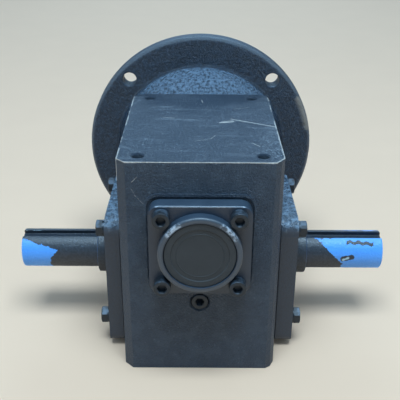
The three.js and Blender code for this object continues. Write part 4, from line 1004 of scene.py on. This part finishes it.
def shaft_keyway(side):
    """A keyseat that runs in from the shaft's end, on the side that KEYWAY_TURN turns it to."""
    half, bottom = 3.175, SHAFT_RADIUS - 3.2
    corners = [(-half, bottom, 0.3), (half, bottom, 0.3), (half, 20), (-half, 20)]
    c, s = math.cos(KEYWAY_TURN), math.sin(KEYWAY_TURN)
    outline = [(a * c - b * s, OUTPUT_Z + a * s + b * c) for a, b in soften(corners, 3)]
    low, high = sorted((side * SHOULDERS[side], side * (SHAFT_ENDS[side] + 1)))
    return prism("X", outline, low, high)


def make_output_shaft():
    right = [
        (16.5, 13.05), (20, 13.05, 0.4), (20, 16, 0.4), (SEAT_RADIUS, 16), (SEAT_RADIUS, SHOULDERS[1], 0.6),
        (SHAFT_RADIUS, SHOULDERS[1]), (SHAFT_RADIUS, SHAFT_ENDS[1], 1.0), (0, SHAFT_ENDS[1]),
    ]
    left = [
        (0, -SHAFT_ENDS[-1]), (SHAFT_RADIUS, -SHAFT_ENDS[-1], 1.0), (SHAFT_RADIUS, -SHOULDERS[-1]),
        (SEAT_RADIUS, -SHOULDERS[-1], 0.6), (SEAT_RADIUS, -13.05), (16.5, -13.05),
    ]
    shaft = lathe("X", OUTPUT_AXIS, soften(left + right, 4), 96)
    key_slot = prism("X", rectangle((0, OUTPUT_Z + 16.1), 4.05, 3.15, 0.3, 2), -11, 11)
    shaft = combine(shaft, [shaft_keyway(1), shaft_keyway(-1), key_slot])
    piece("output_shaft", shaft, LOOKS["shaft"], "output")


# ------------------------------------------------------------------ the pieces, camera, light and floor

make_housing()
make_cap_screws()
make_flange_screws()
make_cover_bolts()
make_side_covers()
make_front_cap()
make_closure()
make_oil_plug()
make_input_flange()
make_flange_gasket_and_seal()
make_output_shaft()

INSIDE_LOOKS = {
    "worm_shaft": "worm",
    "retaining_ring": "fastener",
    "worm_wheel": "bronze",
    "wheel_hub": "iron",
    "wheel_key": "bearing_x",
}
for name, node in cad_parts.items():
    if node.hide_render:
        continue
    along_worm = name.startswith(("front_", "rear_"))
    look = INSIDE_LOOKS.get(name, "bearing_y" if along_worm else "bearing_x")
    node.data.materials.clear()
    node.data.materials.append(LOOKS[look])


def add_camera():
    data = bpy.data.cameras.new("camera")
    data.lens = 62.24
    camera = bpy.data.objects.new("camera", data)
    bpy.context.scene.collection.objects.link(camera)
    camera.location = (-0.0002, -0.4098, 0.2845)
    camera.rotation_mode = "QUATERNION"
    tilt = Euler((math.radians(90 - 25.70), 0, 0)).to_quaternion()
    camera.rotation_quaternion = tilt @ Quaternion((0, 0, 1), math.radians(0.325))
    bpy.context.scene.camera = camera


def add_area_light(name, location, target, size, power, colour):
    data = bpy.data.lights.new(name, "AREA")
    data.shape = "RECTANGLE"
    data.size, data.size_y = size
    data.energy = power
    data.color = colour
    light = bpy.data.objects.new(name, data)
    bpy.context.scene.collection.objects.link(light)
    light.location = location
    light.rotation_mode = "QUATERNION"
    light.rotation_quaternion = (Vector(target) - Vector(location)).to_track_quat("-Z", "Y")


SKY = (0.45, 0.72, 1.0)
HORIZON = (0.10, 0.15, 0.21)


def add_sky():
    """Daylight that is brightest from halfway up, and dim along the horizon."""
    world = bpy.data.worlds.new("studio")
    bpy.context.scene.world = world
    world.use_nodes = True
    tree = world.node_tree
    where = tree.nodes.new("ShaderNodeTexCoord")
    parts = tree.nodes.new("ShaderNodeSeparateXYZ")
    ramp = tree.nodes.new("ShaderNodeValToRGB")
    low, high = ramp.color_ramp.elements
    low.position, low.color = 0.02, (*HORIZON, 1)
    high.position, high.color = 0.42, (*SKY, 1)
    tree.links.new(where.outputs["Generated"], parts.inputs[0])
    tree.links.new(parts.outputs["Z"], ramp.inputs[0])
    tree.links.new(ramp.outputs[0], tree.nodes["Background"].inputs["Color"])
    tree.nodes["Background"].inputs["Strength"].default_value = 0.62


def add_lights():
    add_area_light("overhead", (0.03, -0.42, 1.45), (0, 0, 0.1), (0.9, 0.5), 26, (0.56, 0.80, 1.0))
    add_area_light("front_fill", (-0.6, -1.6, 1.0), (0, 0, 0.08), (1.2, 0.8), 1.5, SKY)
    add_area_light("rear_window", (0, 1.7, 1.05), (0, 0.05, 0.14), (1.1, 0.5), 11, SKY)


def add_floor():
    shape = bmesh.new()
    reach, height = 4, -0.0002
    corners = ((-reach, -reach), (reach, -reach), (reach, reach), (-reach, reach))
    shape.faces.new([shape.verts.new((x, y, height)) for x, y in corners])
    floor = to_object(shape)
    floor.name = "floor"
    g = Look("floor_card", roughness=0.85, specular=0.2)
    tone = g.noise(60, 3, 0.5)
    floor.data.materials.append(g.done(g.colours(tone, (0.82, 0.54, 0.37), (0.86, 0.57, 0.39))))


add_camera()
add_sky()
add_lights()
add_floor()
bpy.context.scene.view_settings.view_transform = "Standard"
